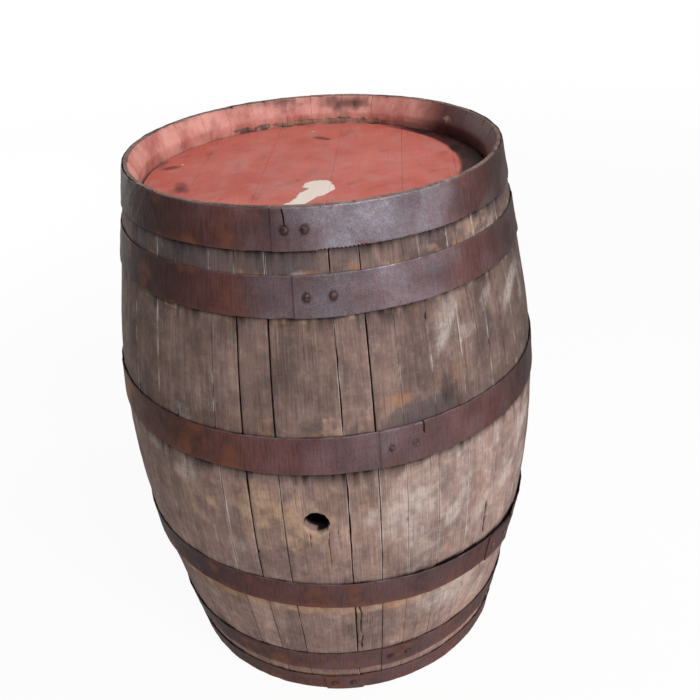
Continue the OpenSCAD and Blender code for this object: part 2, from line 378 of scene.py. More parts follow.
class Graph:
    """One node tree, with short calls that add a node and wire it."""

    def __init__(self, tree: NodeTree, material: Material | None = None) -> None:
        """Starts on an empty tree, which may belong to a material."""
        self.tree = tree
        self.material = material
        tree.nodes.clear()

    def add(self, kind: str, wires: dict | None = None, **settings: object) -> Node:
        """Adds a node.

        Args:
            kind: The node's type name.
            wires: For each input, by name or number, an output socket to join or a value.
            settings: Properties of the node.

        Returns:
            The new node.
        """
        node = self.tree.nodes.new(kind)
        for key, value in settings.items():
            setattr(node, key, value)
        for key, value in (wires or {}).items():
            if isinstance(value, Socket):
                self.tree.links.new(value, node.inputs[key])
            else:
                node.inputs[key].default_value = value
        return node

    def math(self, operation: str, a: object, b: object = 0.0, clamp: bool = False) -> Socket:
        """Result of an arithmetic node on one or two values."""
        return self.add("ShaderNodeMath", {0: a, 1: b}, operation=operation, use_clamp=clamp).outputs[0]

    def times(self, *factors: object) -> Socket:
        """Product of several values."""
        total = factors[0]
        for factor in factors[1:]:
            total = self.math("MULTIPLY", total, factor)
        return total

    def plus(self, *terms: object) -> Socket:
        """Sum of several values."""
        total = terms[0]
        for term in terms[1:]:
            total = self.math("ADD", total, term)
        return total

    def mix(self, factor: object, a: object, b: object, blend: str = "MIX") -> Socket:
        """Colour b laid over colour a by the factor."""
        node = self.add("ShaderNodeMix", {0: factor, 6: a, 7: b}, data_type="RGBA", blend_type=blend)
        return node.outputs[2]

    def span(
        self, value: object, low: object, high: object, to_low: float = 0.0, to_high: float = 1.0
    ) -> Socket:
        """Carries a value smoothly from low and high to the two new ends."""
        wires = {0: value, 1: low, 2: high, 3: to_low, 4: to_high}
        return self.add("ShaderNodeMapRange", wires, interpolation_type="SMOOTHSTEP").outputs[0]

    def layer(
        self, colour: object, over: object, value: object, low: float, high: float, strength: float
    ) -> Socket:
        """A colour with another over it, as strongly as a value lies between two levels."""
        return self.mix(self.times(self.span(value, low, high), strength), colour, over)

    def drawn(
        self, vector: object, across: float, along: float, detail: float, rough: float = 0.55
    ) -> Socket:
        """Fractal noise on a surface map, with a scale across it and one along it."""
        return self.noise(self.stretch(vector, (across, along, 1.0)), 1.0, detail, rough)

    def stretch(self, vector: object, by: tuple[float, float, float]) -> Socket:
        """The vector with its three parts multiplied."""
        return self.add("ShaderNodeVectorMath", {0: vector, 1: by}, operation="MULTIPLY").outputs[0]

    def noise(self, vector: object, scale: object, detail: float = 4.0, rough: float = 0.55) -> Socket:
        """Fractal noise of about 0.5."""
        wires = {"Vector": vector, "Scale": scale, "Detail": detail, "Roughness": rough}
        return self.add("ShaderNodeTexNoise", wires).outputs["Fac"]

    def use(self, group: NodeTree, **wires: object) -> Node:
        """Places a shared group, with its inputs by name."""
        return self.add("ShaderNodeGroup", wires, node_tree=group)

    def give(self, end: Node, **values: Socket) -> NodeTree:
        """Joins values to a group's outputs by name, and returns the group."""
        for key, value in values.items():
            self.tree.links.new(value, end.inputs[key])
        return self.tree

    def here(self) -> Socket:
        """Place on the object."""
        return self.add("ShaderNodeTexCoord").outputs["Object"]

    def surface(self) -> Socket:
        """Place on the piece's own surface map."""
        return self.add("ShaderNodeUVMap", uv_map="grain").outputs[0]

    def toned(self, colour: object, tone: object) -> Socket:
        """A colour made lighter or darker by a tone."""
        shade = self.add("ShaderNodeCombineColor", {0: tone, 1: tone, 2: tone}).outputs[0]
        return self.mix(1.0, colour, shade, "MULTIPLY")

    def channels(self, name: str) -> list[Socket]:
        """The four fields of a named colour attribute."""
        node = self.add("ShaderNodeAttribute", attribute_name=name, attribute_type="GEOMETRY")
        parts = self.add("ShaderNodeSeparateColor", {0: node.outputs["Color"]})
        return [parts.outputs[0], parts.outputs[1], parts.outputs[2], node.outputs["Alpha"]]


def shared_group(name: str, inputs: dict[str, object], outputs: dict[str, str]) -> tuple[Graph, dict, Node]:
    """Starts a node group that several materials place.

    Args:
        name: Name of the group.
        inputs: Each input's name with its default: a number, a colour or the word vector.
        outputs: Each output's name with its socket type, Float or Color.

    Returns:
        The group's graph, its inputs by name and its output node.
    """
    tree = bpy.data.node_groups.new(name, "ShaderNodeTree")
    graph = Graph(tree)
    for key, value in inputs.items():
        kind = "Vector" if value == "vector" else "Color" if isinstance(value, tuple) else "Float"
        socket = tree.interface.new_socket(name=key, in_out="INPUT", socket_type="NodeSocket" + kind)
        if kind != "Vector":
            socket.default_value = value
    for key, kind in outputs.items():
        tree.interface.new_socket(name=key, in_out="OUTPUT", socket_type="NodeSocket" + kind)
    start = graph.add("NodeGroupInput")
    end = graph.add("NodeGroupOutput")
    return graph, {key: start.outputs[key] for key in inputs}, end


@dataclass(frozen=True)
class SharedEffects:
    """The effects that more than one finish uses."""

    patches: NodeTree
    fibres: NodeTree
    rust: NodeTree
    grime_and_shade: NodeTree

    @staticmethod
    def build() -> "SharedEffects":
        """Builds the four groups."""
        return SharedEffects(patches_group(), fibres_group(), rust_group(), grime_and_shade_group())


def patches_group() -> NodeTree:
    """Ragged patches: fractal noise plus a field, taken smoothly between two levels."""
    graph, given, end = shared_group(
        "patches", {"Vector": "vector", "Field": 0.0, "Scale": 20.0, "Low": 0.45, "High": 0.6}, {"Mask": "Float"}
    )
    noise = graph.noise(given["Vector"], given["Scale"], 8.0, 0.7)
    raised = graph.math("ADD", noise, graph.math("SUBTRACT", given["Field"], 0.5))
    return graph.give(end, Mask=graph.span(raised, given["Low"], given["High"]))


def fibres_group() -> NodeTree:
    """Wood grain along the second surface coordinate: fine fibres, broad bands and drying checks."""
    outputs = {"Fine": "Float", "Broad": "Float", "Check": "Float", "Scratch": "Float", "Height": "Float"}
    graph, given, end = shared_group("fibres", {"Vector": "vector"}, outputs)
    bend = graph.drawn(given["Vector"], 9.0, 3.0, 2.0)
    sway = graph.add("ShaderNodeCombineXYZ", {0: graph.math("MULTIPLY", bend, 0.016), 1: 0.0, 2: 0.0}).outputs[0]
    path = graph.add("ShaderNodeVectorMath", {0: given["Vector"], 1: sway}, operation="ADD").outputs[0]
    fine = graph.drawn(path, 480.0, 13.0, 6.0, 0.68)
    broad = graph.drawn(path, 150.0, 3.4, 4.0, 0.6)
    lines = graph.drawn(path, 420.0, 5.0, 3.0, 0.5)
    check = graph.span(graph.math("ABSOLUTE", graph.math("SUBTRACT", lines, 0.5)), 0.012, 0.0)
    check = graph.times(check, graph.span(broad, 0.5, 0.62))
    across = graph.drawn(given["Vector"], 45.0, 620.0, 3.0, 0.6)
    upright = graph.drawn(given["Vector"], 760.0, 40.0, 3.0, 0.6)
    scratch = graph.math("MAXIMUM", graph.span(across, 0.6, 0.74), graph.span(upright, 0.58, 0.74))
    height = graph.math("ADD", graph.math("MULTIPLY", fine, 0.6), graph.math("MULTIPLY", broad, 0.5))
    height = graph.math("SUBTRACT", height, graph.math("MULTIPLY", check, 0.6))
    return graph.give(end, Fine=fine, Broad=broad, Check=check, Scratch=scratch, Height=height)


def rust_group() -> NodeTree:
    """Old rust on steel: dark scale, brown and orange patches, fine pits and rubbed streaks, with grey rubbed steel
    where the Worn input is high, which on the hoops is partly a painted sheen.
    """
    inputs = {
        "Vector": "vector", "Flow": "vector", "Worn": 0.0,
        "Dark": (0.02, 0.01, 0.01, 1.0), "Brown": (0.1, 0.05, 0.04, 1.0),
        "Orange": (0.2, 0.08, 0.03, 1.0), "Grey": (0.2, 0.17, 0.18, 1.0),
    }
    outputs = {"Color": "Color", "Roughness": "Float", "Height": "Float", "Metal": "Float"}
    graph, given, end = shared_group("rust", inputs, outputs)
    cloud = graph.noise(given["Vector"], 11.0, 5.0, 0.6)
    patch = graph.noise(given["Vector"], 55.0, 6.0, 0.68)
    pits = graph.noise(given["Vector"], 620.0, 3.0, 0.6)
    dents = graph.noise(given["Vector"], 130.0, 2.0, 0.5)
    streak = graph.drawn(given["Flow"], 14.0, 420.0, 4.0, 0.6)
    ribs = graph.drawn(given["Flow"], 330.0, 26.0, 3.0, 0.6)
    colour = graph.mix(graph.span(cloud, 0.24, 0.6, 0.3, 1.0), given["Dark"], given["Brown"])
    colour = graph.layer(colour, given["Orange"], patch, 0.52, 0.72, 0.5)
    colour = graph.layer(colour, given["Dark"], streak, 0.5, 0.72, 0.25)
    colour = graph.layer(colour, given["Dark"], ribs, 0.46, 0.62, 0.45)
    sheen = graph.span(graph.math("ADD", pits, graph.times(dents, 0.5)), 0.5, 1.0, 0.42, 0.95)
    rubbed_and_sheen = graph.times(given["Worn"], sheen)
    # Grey rubbed steel, which on the hoops is partly a painted sheen.
    colour = graph.mix(graph.times(rubbed_and_sheen, 0.9), colour, given["Grey"])
    colour = graph.layer(colour, given["Dark"], pits, 0.42, 0.3, 0.5)
    rough = graph.span(rubbed_and_sheen, 0.0, 1.0, 0.66, 0.42)
    metal = graph.span(rubbed_and_sheen, 0.1, 1.0, 0.03, 0.5)
    height = graph.plus(
        graph.times(pits, 0.5), graph.times(dents, 1.1), graph.times(patch, 0.5), graph.times(ribs, 0.25)
    )
    return graph.give(end, Color=colour, Roughness=rough, Height=height, Metal=metal)


def grime_and_shade_group() -> NodeTree:
    """Dirt laid over a colour where its field is high, thinned by fine noise; on the staves and the upper head the
    field also holds painted shade.
    """
    graph, given, end = shared_group(
        "grime_and_shade", {"Color": (0.5, 0.5, 0.5, 1.0), "Dirt": (0.02, 0.015, 0.012, 1.0), "Field": 0.0, "Vector": "vector"},
        {"Color": "Color"},
    )
    noise = graph.noise(given["Vector"], 60.0, 6.0, 0.65)
    mask = graph.times(given["Field"], graph.span(graph.math("ADD", noise, given["Field"]), 0.45, 1.0))
    colour = graph.mix(graph.math("MINIMUM", mask, 1.0), given["Color"], given["Dirt"])
    return graph.give(end, Color=colour)


def new_material(name: str) -> Graph:
    """An empty material's node tree."""
    material = bpy.data.materials.new(name)
    material.use_nodes = True
    return Graph(material.node_tree, material)


def finish_material(
    graph: Graph, colour: object, rough: object, height: object, depth: float, gloss: float, metal: object = 0.0
) -> Material:
    """Wires the shader of a material.

    Args:
        graph: The material's node tree.
        colour: Base colour.
        rough: Roughness.
        height: Relief, about 0 to 1.
        depth: Depth in millimetres of a relief of 1.
        gloss: Strength of the clear reflection.
        metal: Share of bare metal.

    Returns:
        The finished material.
    """
    bump = graph.add("ShaderNodeBump", {"Height": height, "Strength": 1.0, "Distance": depth * MM})
    wires = {
        "Base Color": colour, "Roughness": rough, "Metallic": metal,
        "Specular IOR Level": gloss, "Normal": bump.outputs[0],
    }
    shader = graph.add("ShaderNodeBsdfPrincipled", wires)
    graph.add("ShaderNodeOutputMaterial", {0: shader.outputs[0]})
    return graph.material


# ---------------------------------------------------------------- finishes


@dataclass(frozen=True)
class OakFinish:
    """Grey, rust-stained oak, with old paint inside the chime, and painted shade under and behind the hoops, in the
    bung hole, towards the sides and on the right of the chime's inner wall.
    """

    name: str = "weathered_oak"
    dark: Colour = srgb(98, 78, 77)
    light: Colour = srgb(172, 143, 132)
    warm: Colour = srgb(150, 120, 102)
    fibre: Colour = srgb(198, 176, 166)
    rust: Colour = srgb(168, 122, 88)
    slate: Colour = srgb(78, 73, 80)
    pale: Colour = srgb(218, 206, 198)
    soot_and_shade: Colour = srgb(26, 19, 18)
    ochre: Colour = srgb(206, 170, 140)
    paint: Colour = srgb(217, 157, 147)
    paint_dark: Colour = srgb(172, 104, 95)
    shade_maroon: Colour = srgb(68, 36, 38)

    def build(self, effects: SharedEffects) -> Material:
        """Builds the material, which reads the grain map and two attributes of stains, paint, tone and painted shade.
        """
        graph = new_material(self.name)
        here = graph.here()
        grain_at = graph.surface()
        rust, slate, pale, soot_and_shade = graph.channels("marks")
        paint, ochre, tone, shade_maroon = graph.channels("coats_and_shade")
        grain = graph.use(effects.fibres, Vector=grain_at).outputs
        along = graph.stretch(here, (1.0, 1.0, 0.6))
        cloud = graph.noise(along, 17.0, 7.0, 0.66)
        wood = graph.mix(graph.span(grain["Broad"], 0.2, 0.75, 0.22, 0.84), self.dark, self.light)
        mottle = graph.noise(here, 75.0, 7.0, 0.72)
        wood = graph.layer(wood, self.warm, graph.noise(here, 23.0, 4.0, 0.6), 0.4, 0.62, 0.4)
        wood = graph.layer(wood, self.dark, cloud, 0.42, 0.66, 0.62)
        wood = graph.layer(wood, self.dark, mottle, 0.52, 0.36, 0.28)
        wood = graph.layer(wood, self.fibre, mottle, 0.52, 0.7, 0.3)
        wood = graph.layer(wood, self.fibre, grain["Fine"], 0.52, 0.7, 0.3)
        wood = graph.layer(wood, self.dark, grain["Fine"], 0.48, 0.32, 0.38)
        wood = graph.mix(graph.times(grain["Scratch"], 0.32), wood, self.fibre)
        pits = graph.span(graph.noise(here, 300.0, 3.0, 0.6), 0.6, 0.72)
        wood = graph.mix(graph.times(pits, 0.4), wood, self.soot_and_shade)
        # The tone includes painted shade towards the sides of the cask.
        wood = graph.toned(wood, tone)
        layers = (
            (ochre, 60.0, self.ochre, 0.72, 0.34, 0.8),
            (slate, 50.0, self.slate, 0.62, 0.34, 0.84),
            (rust, 90.0, self.rust, 0.8, 0.36, 0.78),
            (pale, 30.0, self.pale, 0.6, 0.36, 1.02),
        )
        broken = graph.times(graph.span(grain["Fine"], 0.3, 0.58, 0.45, 1.0), graph.span(mottle, 0.36, 0.58, 0.5, 1.0))
        for field, scale, colour, strength, low, high in layers:
            mask = graph.use(effects.patches, Vector=along, Field=field, Scale=scale, Low=low, High=high).outputs[0]
            mask = graph.times(mask, graph.span(field, 0.02, 0.35), broken, strength)
            wood = graph.mix(mask, wood, colour)
        specks = graph.span(graph.noise(here, 210.0, 4.0, 0.7), 0.58, 0.72)
        wood = graph.mix(graph.times(specks, graph.span(pale, 0.05, 0.6, 0.05, 0.4)), wood, self.pale)
        wood = graph.mix(graph.times(grain["Check"], 0.7), wood, self.soot_and_shade)
        coat = graph.mix(graph.span(cloud, 0.35, 0.7), self.paint, self.paint_dark)
        coat = graph.layer(coat, self.paint_dark, graph.noise(here, 90.0, 5.0, 0.7), 0.55, 0.75, 0.4)
        # Painted shade: dark maroon on the right of the chime's inner wall.
        coat = graph.mix(shade_maroon, coat, self.shade_maroon)
        covered = graph.use(effects.patches, Vector=here, Field=paint, Scale=55.0, Low=0.35, High=0.5).outputs[0]
        covered = graph.times(covered, graph.span(paint, 0.02, 0.2))
        wood = graph.mix(covered, wood, coat)
        # The dark field is dirt, plus painted shade under and behind the hoops and in the bung hole.
        wood = graph.use(effects.grime_and_shade, Color=wood, Dirt=self.soot_and_shade, Field=soot_and_shade, Vector=here).outputs[0]
        rough = graph.span(covered, 0.0, 1.0, 0.82, 0.5)
        bare_grain = graph.times(grain["Height"], graph.span(covered, 0.0, 1.0, 1.0, 0.35))
        height = graph.plus(bare_grain, graph.times(cloud, 0.6), graph.times(covered, 0.3))
        return finish_material(graph, wood, rough, height, 0.9, 0.14)


@dataclass(frozen=True)
class HeadFinish:
    """Brick-red paint on the head boards, scuffed, dusty and smeared with white, with a painted highlight left of the
    smear and a painted shadow of the rim on the right.
    """

    name: str = "painted_oak"
    paint: Colour = srgb(199, 109, 97)
    deep: Colour = srgb(184, 93, 82)
    chalk: Colour = srgb(214, 141, 130)
    dust_and_highlight: Colour = srgb(176, 140, 132)
    smear: Colour = srgb(230, 216, 204)
    dirt: Colour = srgb(36, 22, 22)
    oak: Colour = srgb(176, 130, 88)

    def build(self, effects: SharedEffects) -> Material:
        """Builds the material, which reads the grain map and the attribute spots."""
        graph = new_material(self.name)
        here = graph.here()
        grain_at = graph.surface()
        smear, dirt, glow, bare = graph.channels("spots")
        grain = graph.use(effects.fibres, Vector=grain_at).outputs
        cloud = graph.noise(here, 7.0, 5.0, 0.6)
        colour = graph.mix(graph.span(cloud, 0.34, 0.68), self.paint, self.deep)
        worn = graph.use(effects.patches, Vector=here, Field=0.5, Scale=26.0, Low=0.52, High=0.72).outputs[0]
        colour = graph.mix(graph.times(worn, 0.35), colour, self.chalk)
        colour = graph.layer(colour, self.chalk, grain["Fine"], 0.52, 0.75, 0.22)
        colour = graph.layer(colour, self.deep, grain["Broad"], 0.5, 0.3, 0.3)
        # Painted highlight: a pale patch where the glow field is high, which also holds pale dust.
        colour = graph.mix(graph.times(glow, 0.5), colour, self.dust_and_highlight)
        colour = graph.mix(graph.times(grain["Check"], 0.12), colour, self.dirt)
        colour = graph.mix(graph.times(grain["Scratch"], 0.1), colour, self.dust_and_highlight)
        flaked = graph.use(effects.patches, Vector=here, Field=bare, Scale=70.0, Low=0.4, High=0.6).outputs[0]
        flaked = graph.times(flaked, graph.span(bare, 0.05, 0.3))
        colour = graph.mix(flaked, colour, self.oak)
        torn = graph.math("SUBTRACT", graph.noise(here, 70.0, 5.0, 0.6), 0.5)
        ragged = graph.plus(smear, graph.times(torn, 18.0))
        daub = graph.span(ragged, -0.6, 0.9)
        colour = graph.mix(daub, colour, self.smear)
        # The dirt field also holds a painted shadow of the rim on the right.
        colour = graph.use(effects.grime_and_shade, Color=colour, Dirt=self.dirt, Field=dirt, Vector=here).outputs[0]
        rough = graph.span(graph.math("ADD", cloud, graph.times(worn, 0.3)), 0.3, 0.9, 0.42, 0.62)
        fine = graph.times(graph.noise(here, 150.0, 4.0), 0.35)
        height = graph.plus(graph.times(grain["Height"], 0.5), graph.times(daub, 0.6), fine)
        return finish_material(graph, colour, rough, height, 0.55, 0.1)


@dataclass(frozen=True)
class SteelFinish:
    """Rusty steel, for the hoops or for their rivets."""

    name: str
    dark: Colour
    brown: Colour
    orange: Colour
    grey: Colour
    dirt: Colour = srgb(26, 18, 16)
    depth: float = 0.5

    def build(self, effects: SharedEffects) -> Material:
        """Builds the material, which reads the flow map and one attribute of rubbed steel, dirt, fresh rust and tone;
        on the hoops the rubbed steel includes a painted sheen and the tone painted shade.
        """
        graph = new_material(self.name)
        here = graph.here()
        flow = graph.surface()
        # On the hoops, worn includes a painted sheen at the front, and tone a painted shade towards both sides.
        worn, dirt, bright, tone = graph.channels("wear_sheen_and_shade")
        rust = graph.use(
            effects.rust, Vector=here, Flow=flow, Worn=worn,
            Dark=self.dark, Brown=self.brown, Orange=self.orange, Grey=self.grey,
        ).outputs
        colour = graph.toned(rust["Color"], tone)
        fresh = graph.use(effects.patches, Vector=here, Field=bright, Scale=60.0, Low=0.2, High=0.95).outputs[0]
        colour = graph.mix(graph.times(fresh, graph.span(bright, 0.02, 0.3), 0.8), colour, self.orange)
        colour = graph.use(effects.grime_and_shade, Color=colour, Dirt=self.dirt, Field=dirt, Vector=here).outputs[0]
        return finish_material(graph, colour, rust["Roughness"], rust["Height"], self.depth, 0.16, rust["Metal"])


@dataclass(frozen=True)
class DowelFinish:
    """Plain oak of the dowels inside the heads."""

    name: str = "dowel_oak"
    dark: Colour = srgb(140, 104, 66)
    light: Colour = srgb(192, 156, 108)

    def build(self, effects: SharedEffects) -> Material:
        """Builds the material with its grain along the dowels, which lie along X."""
        graph = new_material(self.name)
        here = graph.here()
        parts = graph.add("ShaderNodeSeparateXYZ", {0: here}).outputs
        along = graph.add("ShaderNodeCombineXYZ", {0: parts[1], 1: parts[0], 2: parts[2]}).outputs[0]
        grain = graph.use(effects.fibres, Vector=along).outputs
        worn = graph.use(effects.patches, Vector=here, Field=0.5, Scale=60.0).outputs[0]
        colour = graph.mix(grain["Fine"], self.dark, self.light)
        colour = graph.mix(graph.times(worn, 0.3), colour, self.dark)
        return finish_material(graph, colour, graph.span(worn, 0.0, 1.0, 0.7, 0.8), grain["Height"], 0.3, 0.2)


# ---------------------------------------------------------------- staves


@dataclass(frozen=True)
class Split:
    """A crack along the grain of a stave."""

    azimuth: float
    low: float
    high: float
    width: float
    depth: float
    sway: float = 1.5


@dataclass(frozen=True)
class OpenJoint:
    """A stave joint that has dried open over part of its height."""

    azimuth: float
    low: float
    high: float
    gap: float


SPLITS = (
    Split(40.2, 424.0, 530.0, 0.9, 6.0, 2.5),
    Split(48.6, 300.0, 372.0, 2.2, 7.0, 3.0),
    Split(9.3, 120.0, 240.0, 0.9, 5.0, 3.0),
    Split(2.7, 345.0, 414.0, 0.6, 3.0, 1.0),
    Split(-1.8, 385.0, 414.0, 0.6, 3.0, 1.0),
    Split(5.2, 400.0, 425.0, 0.6, 3.0, 1.0),
    Split(57.0, 585.0, 720.0, 0.7, 3.0, 2.0),
    Split(-52.0, 330.0, 520.0, 0.6, 3.0, 2.0),
    Split(-118.0, 300.0, 520.0, 1.0, 5.0, 3.0),
    Split(163.0, 585.0, 748.0, 0.9, 5.0, 3.0),
    Split(104.0, 120.0, 235.0, 0.8, 4.0, 2.0),
)
OPEN_JOINTS = (
    OpenJoint(-15.8, 300.0, 760.0, 1.3),
    OpenJoint(-8.0, 560.0, 760.0, 1.1),
    OpenJoint(-8.0, 90.0, 440.0, 0.3),
    OpenJoint(8.0, 90.0, 430.0, 0.8),
    OpenJoint(15.65, 560.0, 760.0, 0.8),
    OpenJoint(40.6, 424.0, 530.0, 0.8),
    OpenJoint(-41.9, 300.0, 460.0, 0.5),
    OpenJoint(-34.7, 90.0, 200.0, 0.4),
    OpenJoint(117.0, 560.0, 760.0, 1.2),
)


@dataclass
class Staves:
    """The 34 staves of the cask's wall, the bung stave among them."""

    outline: Outline
    thickness: float = 25.0
    chime_land: float = 6.0
    chime_bevel_h: float = 30.0
    croze_rise: float = 60.0
    croze_w: float = 6.0
    croze_depth: float = 7.0
    bung_z: float = BUNG_Z
    bung_r: float = 19.5
    row_step: float = 5.0
    column_step: float = 3.6

    def span_of(self, node: str) -> tuple[float, float]:
        """Lowest and highest azimuth of a stave's solid, read from its mesh."""
        flat = np.empty(len(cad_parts[node].data.vertices) * 3, dtype=np.float32)
        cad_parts[node].data.vertices.foreach_get("co", flat)
        points = flat.reshape(-1, 3)
        centre = math.degrees(math.atan2(float(points[:, 0].sum()), float(-points[:, 1].sum())))
        off = turn_from(azimuth_of(points), centre)
        return centre + float(off.min()), centre + float(off.max())

    def inner_radius(self, z: Array) -> Array:
        """Inner radius at a height: the outline less the thickness, with the bevel and the croze cut in."""
        inner = self.outline.radius(z) - self.thickness
        from_end = np.minimum(z, self.outline.height - z)
        bevel_r = self.outline.radius_at(self.chime_bevel_h) - self.thickness
        land_r = self.outline.end_r - self.chime_land
        bevel = land_r + (bevel_r - land_r) * from_end / self.chime_bevel_h
        blended = 0.5 * (inner + bevel + np.sqrt((inner - bevel) ** 2 + 4.0))
        inner = np.where(from_end < 0.5, bevel, np.where(from_end < self.croze_rise - 10.0, blended, inner))
        croze_r = self.outline.radius_at(self.croze_rise) - self.thickness + self.croze_depth
        in_croze = np.abs(from_end - self.croze_rise) < self.croze_w / 2.0
        return np.where(in_croze, croze_r, inner)

    def rows(self, is_bung: bool) -> Array:
        """Heights of the lattice rows, closer together at the ends, the croze and the bung hole."""
        height = self.outline.height
        half = self.croze_w / 2.0
        near_end = [0.0, 0.8, 2.0, 4.0, self.chime_bevel_h]
        croze = [self.croze_rise + side * half + step for side in (-1, 1) for step in (-0.25, 0.25)]
        fixed = np.array(near_end + croze)
        rows = np.concatenate([fixed, height - fixed])
        plain = np.arange(8.0, height - 7.0, self.row_step)
        if is_bung:
            plain = np.concatenate([plain, np.arange(self.bung_z - 36.0, self.bung_z + 36.0, 1.6)])
        clear = np.abs(plain[:, None] - rows[None, :]).min(axis=1) > 1.2
        rows = np.sort(np.concatenate([rows, plain[clear]]))
        return rows[np.concatenate([[True], np.diff(rows) > 0.3])]

    def splits_in(self, low: float, width: float) -> list[tuple[int, Split, float]]:
        """The splits of the stave that starts at low, each with its number and its distance across."""
        found = []
        for order, split in enumerate(SPLITS):
            at = math.radians(turn_from(split.azimuth, low)) * self.outline.bilge_r
            if 4.0 < at < width - 4.0:
                found.append((order, split, at))
        return found

    def columns(self, low: float, high: float, step: float) -> Array:
        """Shares of the width at which the lattice columns lie, closer at the edges and the splits."""
        width = math.radians(high - low) * self.outline.bilge_r
        edge = np.array([0.0, 0.7, 1.8, 3.5])
        middle = np.linspace(3.5, width - 3.5, max(3, int((width - 7.0) / step)))
        fixed = [edge, width - edge]
        for _, split, at in self.splits_in(low, width):
            fixed.append(at + np.array([-2.6, -1.1, -0.5, 0.0, 0.5, 1.1, 2.6]) * split.width)
        fixed_marks = np.sort(np.concatenate(fixed))
        clear = np.abs(middle[:, None] - fixed_marks[None, :]).min(axis=1) > 1.0
        marks = np.sort(np.concatenate([fixed_marks, middle[clear]]))
        return marks[np.concatenate([[True], np.diff(marks) > 0.2])] / width

    def edge_gap(self, azimuth: float, z: Array) -> Array:
        """How far a stave's edge draws back at a joint, half the extra gap of an open joint."""
        back = 0.015 + 0.015 * ripple(int(azimuth * 10.0) % 997 + 5, (z, 160.0)) ** 2
        for joint in OPEN_JOINTS:
            if abs(turn_from(joint.azimuth, azimuth)) < 0.6:
                reach = window(z, joint.low, joint.high, 45.0)
                back = back + reach * joint.gap * 0.5 * (1.0 + 0.25 * ripple(61, (z, 60.0)))
        return np.clip(back, 0.0, 2.2)

    def edge_chips(self, seed: int, z: Array) -> Array:
        """Depth of the chips along a stave's edge: noise above a level, in runs along the height."""
        runs = ripple(seed, (z, 28.0)) + 0.5 * ripple(seed + 1, (z, 11.0))
        return np.clip(runs - 2.0, 0.0, 1.4) * 1.9

    def shape(self, number: int, low: float, high: float) -> tuple[Array, Array]:
        """Lattice of a stave and its grain map.

        A point's radius is the inner radius plus its share of the wall, whose outer
        face is the outline less a small offset, a lean from edge to edge, slow waves,
        the rounding and chips of the edges and the splits.

        Args:
            number: 0 for the bung stave, then counted towards +X.
            low: Lowest azimuth.
            high: Highest azimuth.

        Returns:
            Points of shape (across, along, through, 3) and their surface coordinates.
        """
        rng = np.random.default_rng(400 + number)
        is_bung = number == 0
        z = self.rows(is_bung)[None, :]
        share = self.columns(low, high, 2.2 if is_bung else self.column_step)[:, None]
        width = math.radians(high - low) * self.outline.bilge_r
        across = share * width
        z = z + 0.0 * share
        sway = np.zeros_like(z)
        split_depth = np.zeros_like(z)
        for order, split, at in self.splits_in(low, width):
            reach = window(z, split.low, split.high, 8.0)
            bend = np.clip(ripple(90 + order, (z, 45.0), waves=8), -1.2, 1.2)
            sway += hump(across, at, 7.0) * bend * split.sway * 0.6
            ragged = np.clip(0.6 + 0.4 * ripple(120 + order, (z, 14.0), waves=8), 0.15, 1.3)
            split_depth += hump(across, at, split.width) * reach * split.depth * ragged
        left = self.edge_gap(low, z)
        right = self.edge_gap(high, z)
        across = left + (width - left - right) * share + sway
        near_left, near_right = hump(across, 0.0, 1.6), hump(width - across, 0.0, 1.6)
        rounding = near_left * (0.16 + 1.2 * np.clip(left, 0.0, 0.8))
        rounding = rounding + near_right * (0.16 + 1.2 * np.clip(right, 0.0, 0.8))
        chips = self.edge_chips(700 + 7 * number, z) * hump(across, 0.0, 4.2)
        chips = chips + self.edge_chips(703 + 7 * number, z) * hump(width - across, 0.0, 4.2)
        offset = rng.uniform(0.1, 0.85)
        lean = rng.uniform(-0.45, 0.45) * (2.0 * share - 1.0)
        waves = 0.22 * ripple(800 + number, (across, 40.0), (z, 130.0))
        waves = waves + 0.12 * ripple(840 + number, (across, 11.0), (z, 90.0))
        relief = np.maximum(offset + lean + waves, 0.0) + rounding + chips + split_depth
        full_length = number in FULL_LENGTH_STAVES
        drop_top = 0.0 if full_length else rng.uniform(0.0, 1.6)
        drop_low = 0.0 if full_length else rng.uniform(0.0, 0.8)
        outer = self.outline.radius(z) - relief
        inner = self.inner_radius(z) + 0.5 * np.abs(ripple(880 + number, (across, 18.0), (z, 80.0))) * (z < 820.0)
        inner = np.minimum(inner, outer - 4.0)
        through = np.array([0.0, 0.05, 0.5, 0.93, 1.0])[None, None, :]
        radius = inner[..., None] + (outer - inner)[..., None] * through
        nick = np.clip(ripple(900 + number, (across, 12.0)) - 0.9, 0.0, 1.5) * 1.6
        height = z - (drop_top + nick) * smooth(z, 888.0, 900.0) + drop_low * (1.0 - smooth(z, 0.0, 8.0))
        azimuth = low + np.degrees(across / self.outline.bilge_r)
        points = cylindrical(azimuth[..., None], radius, height[..., None] + 0.0 * radius)
        start = rng.uniform(0.0, 40.0)
        along = across[..., None] * MM + start + (outer[..., None] - radius) * MM
        grain = np.stack([along, height[..., None] * MM + start + 0.0 * radius], axis=-1)
        return points, grain

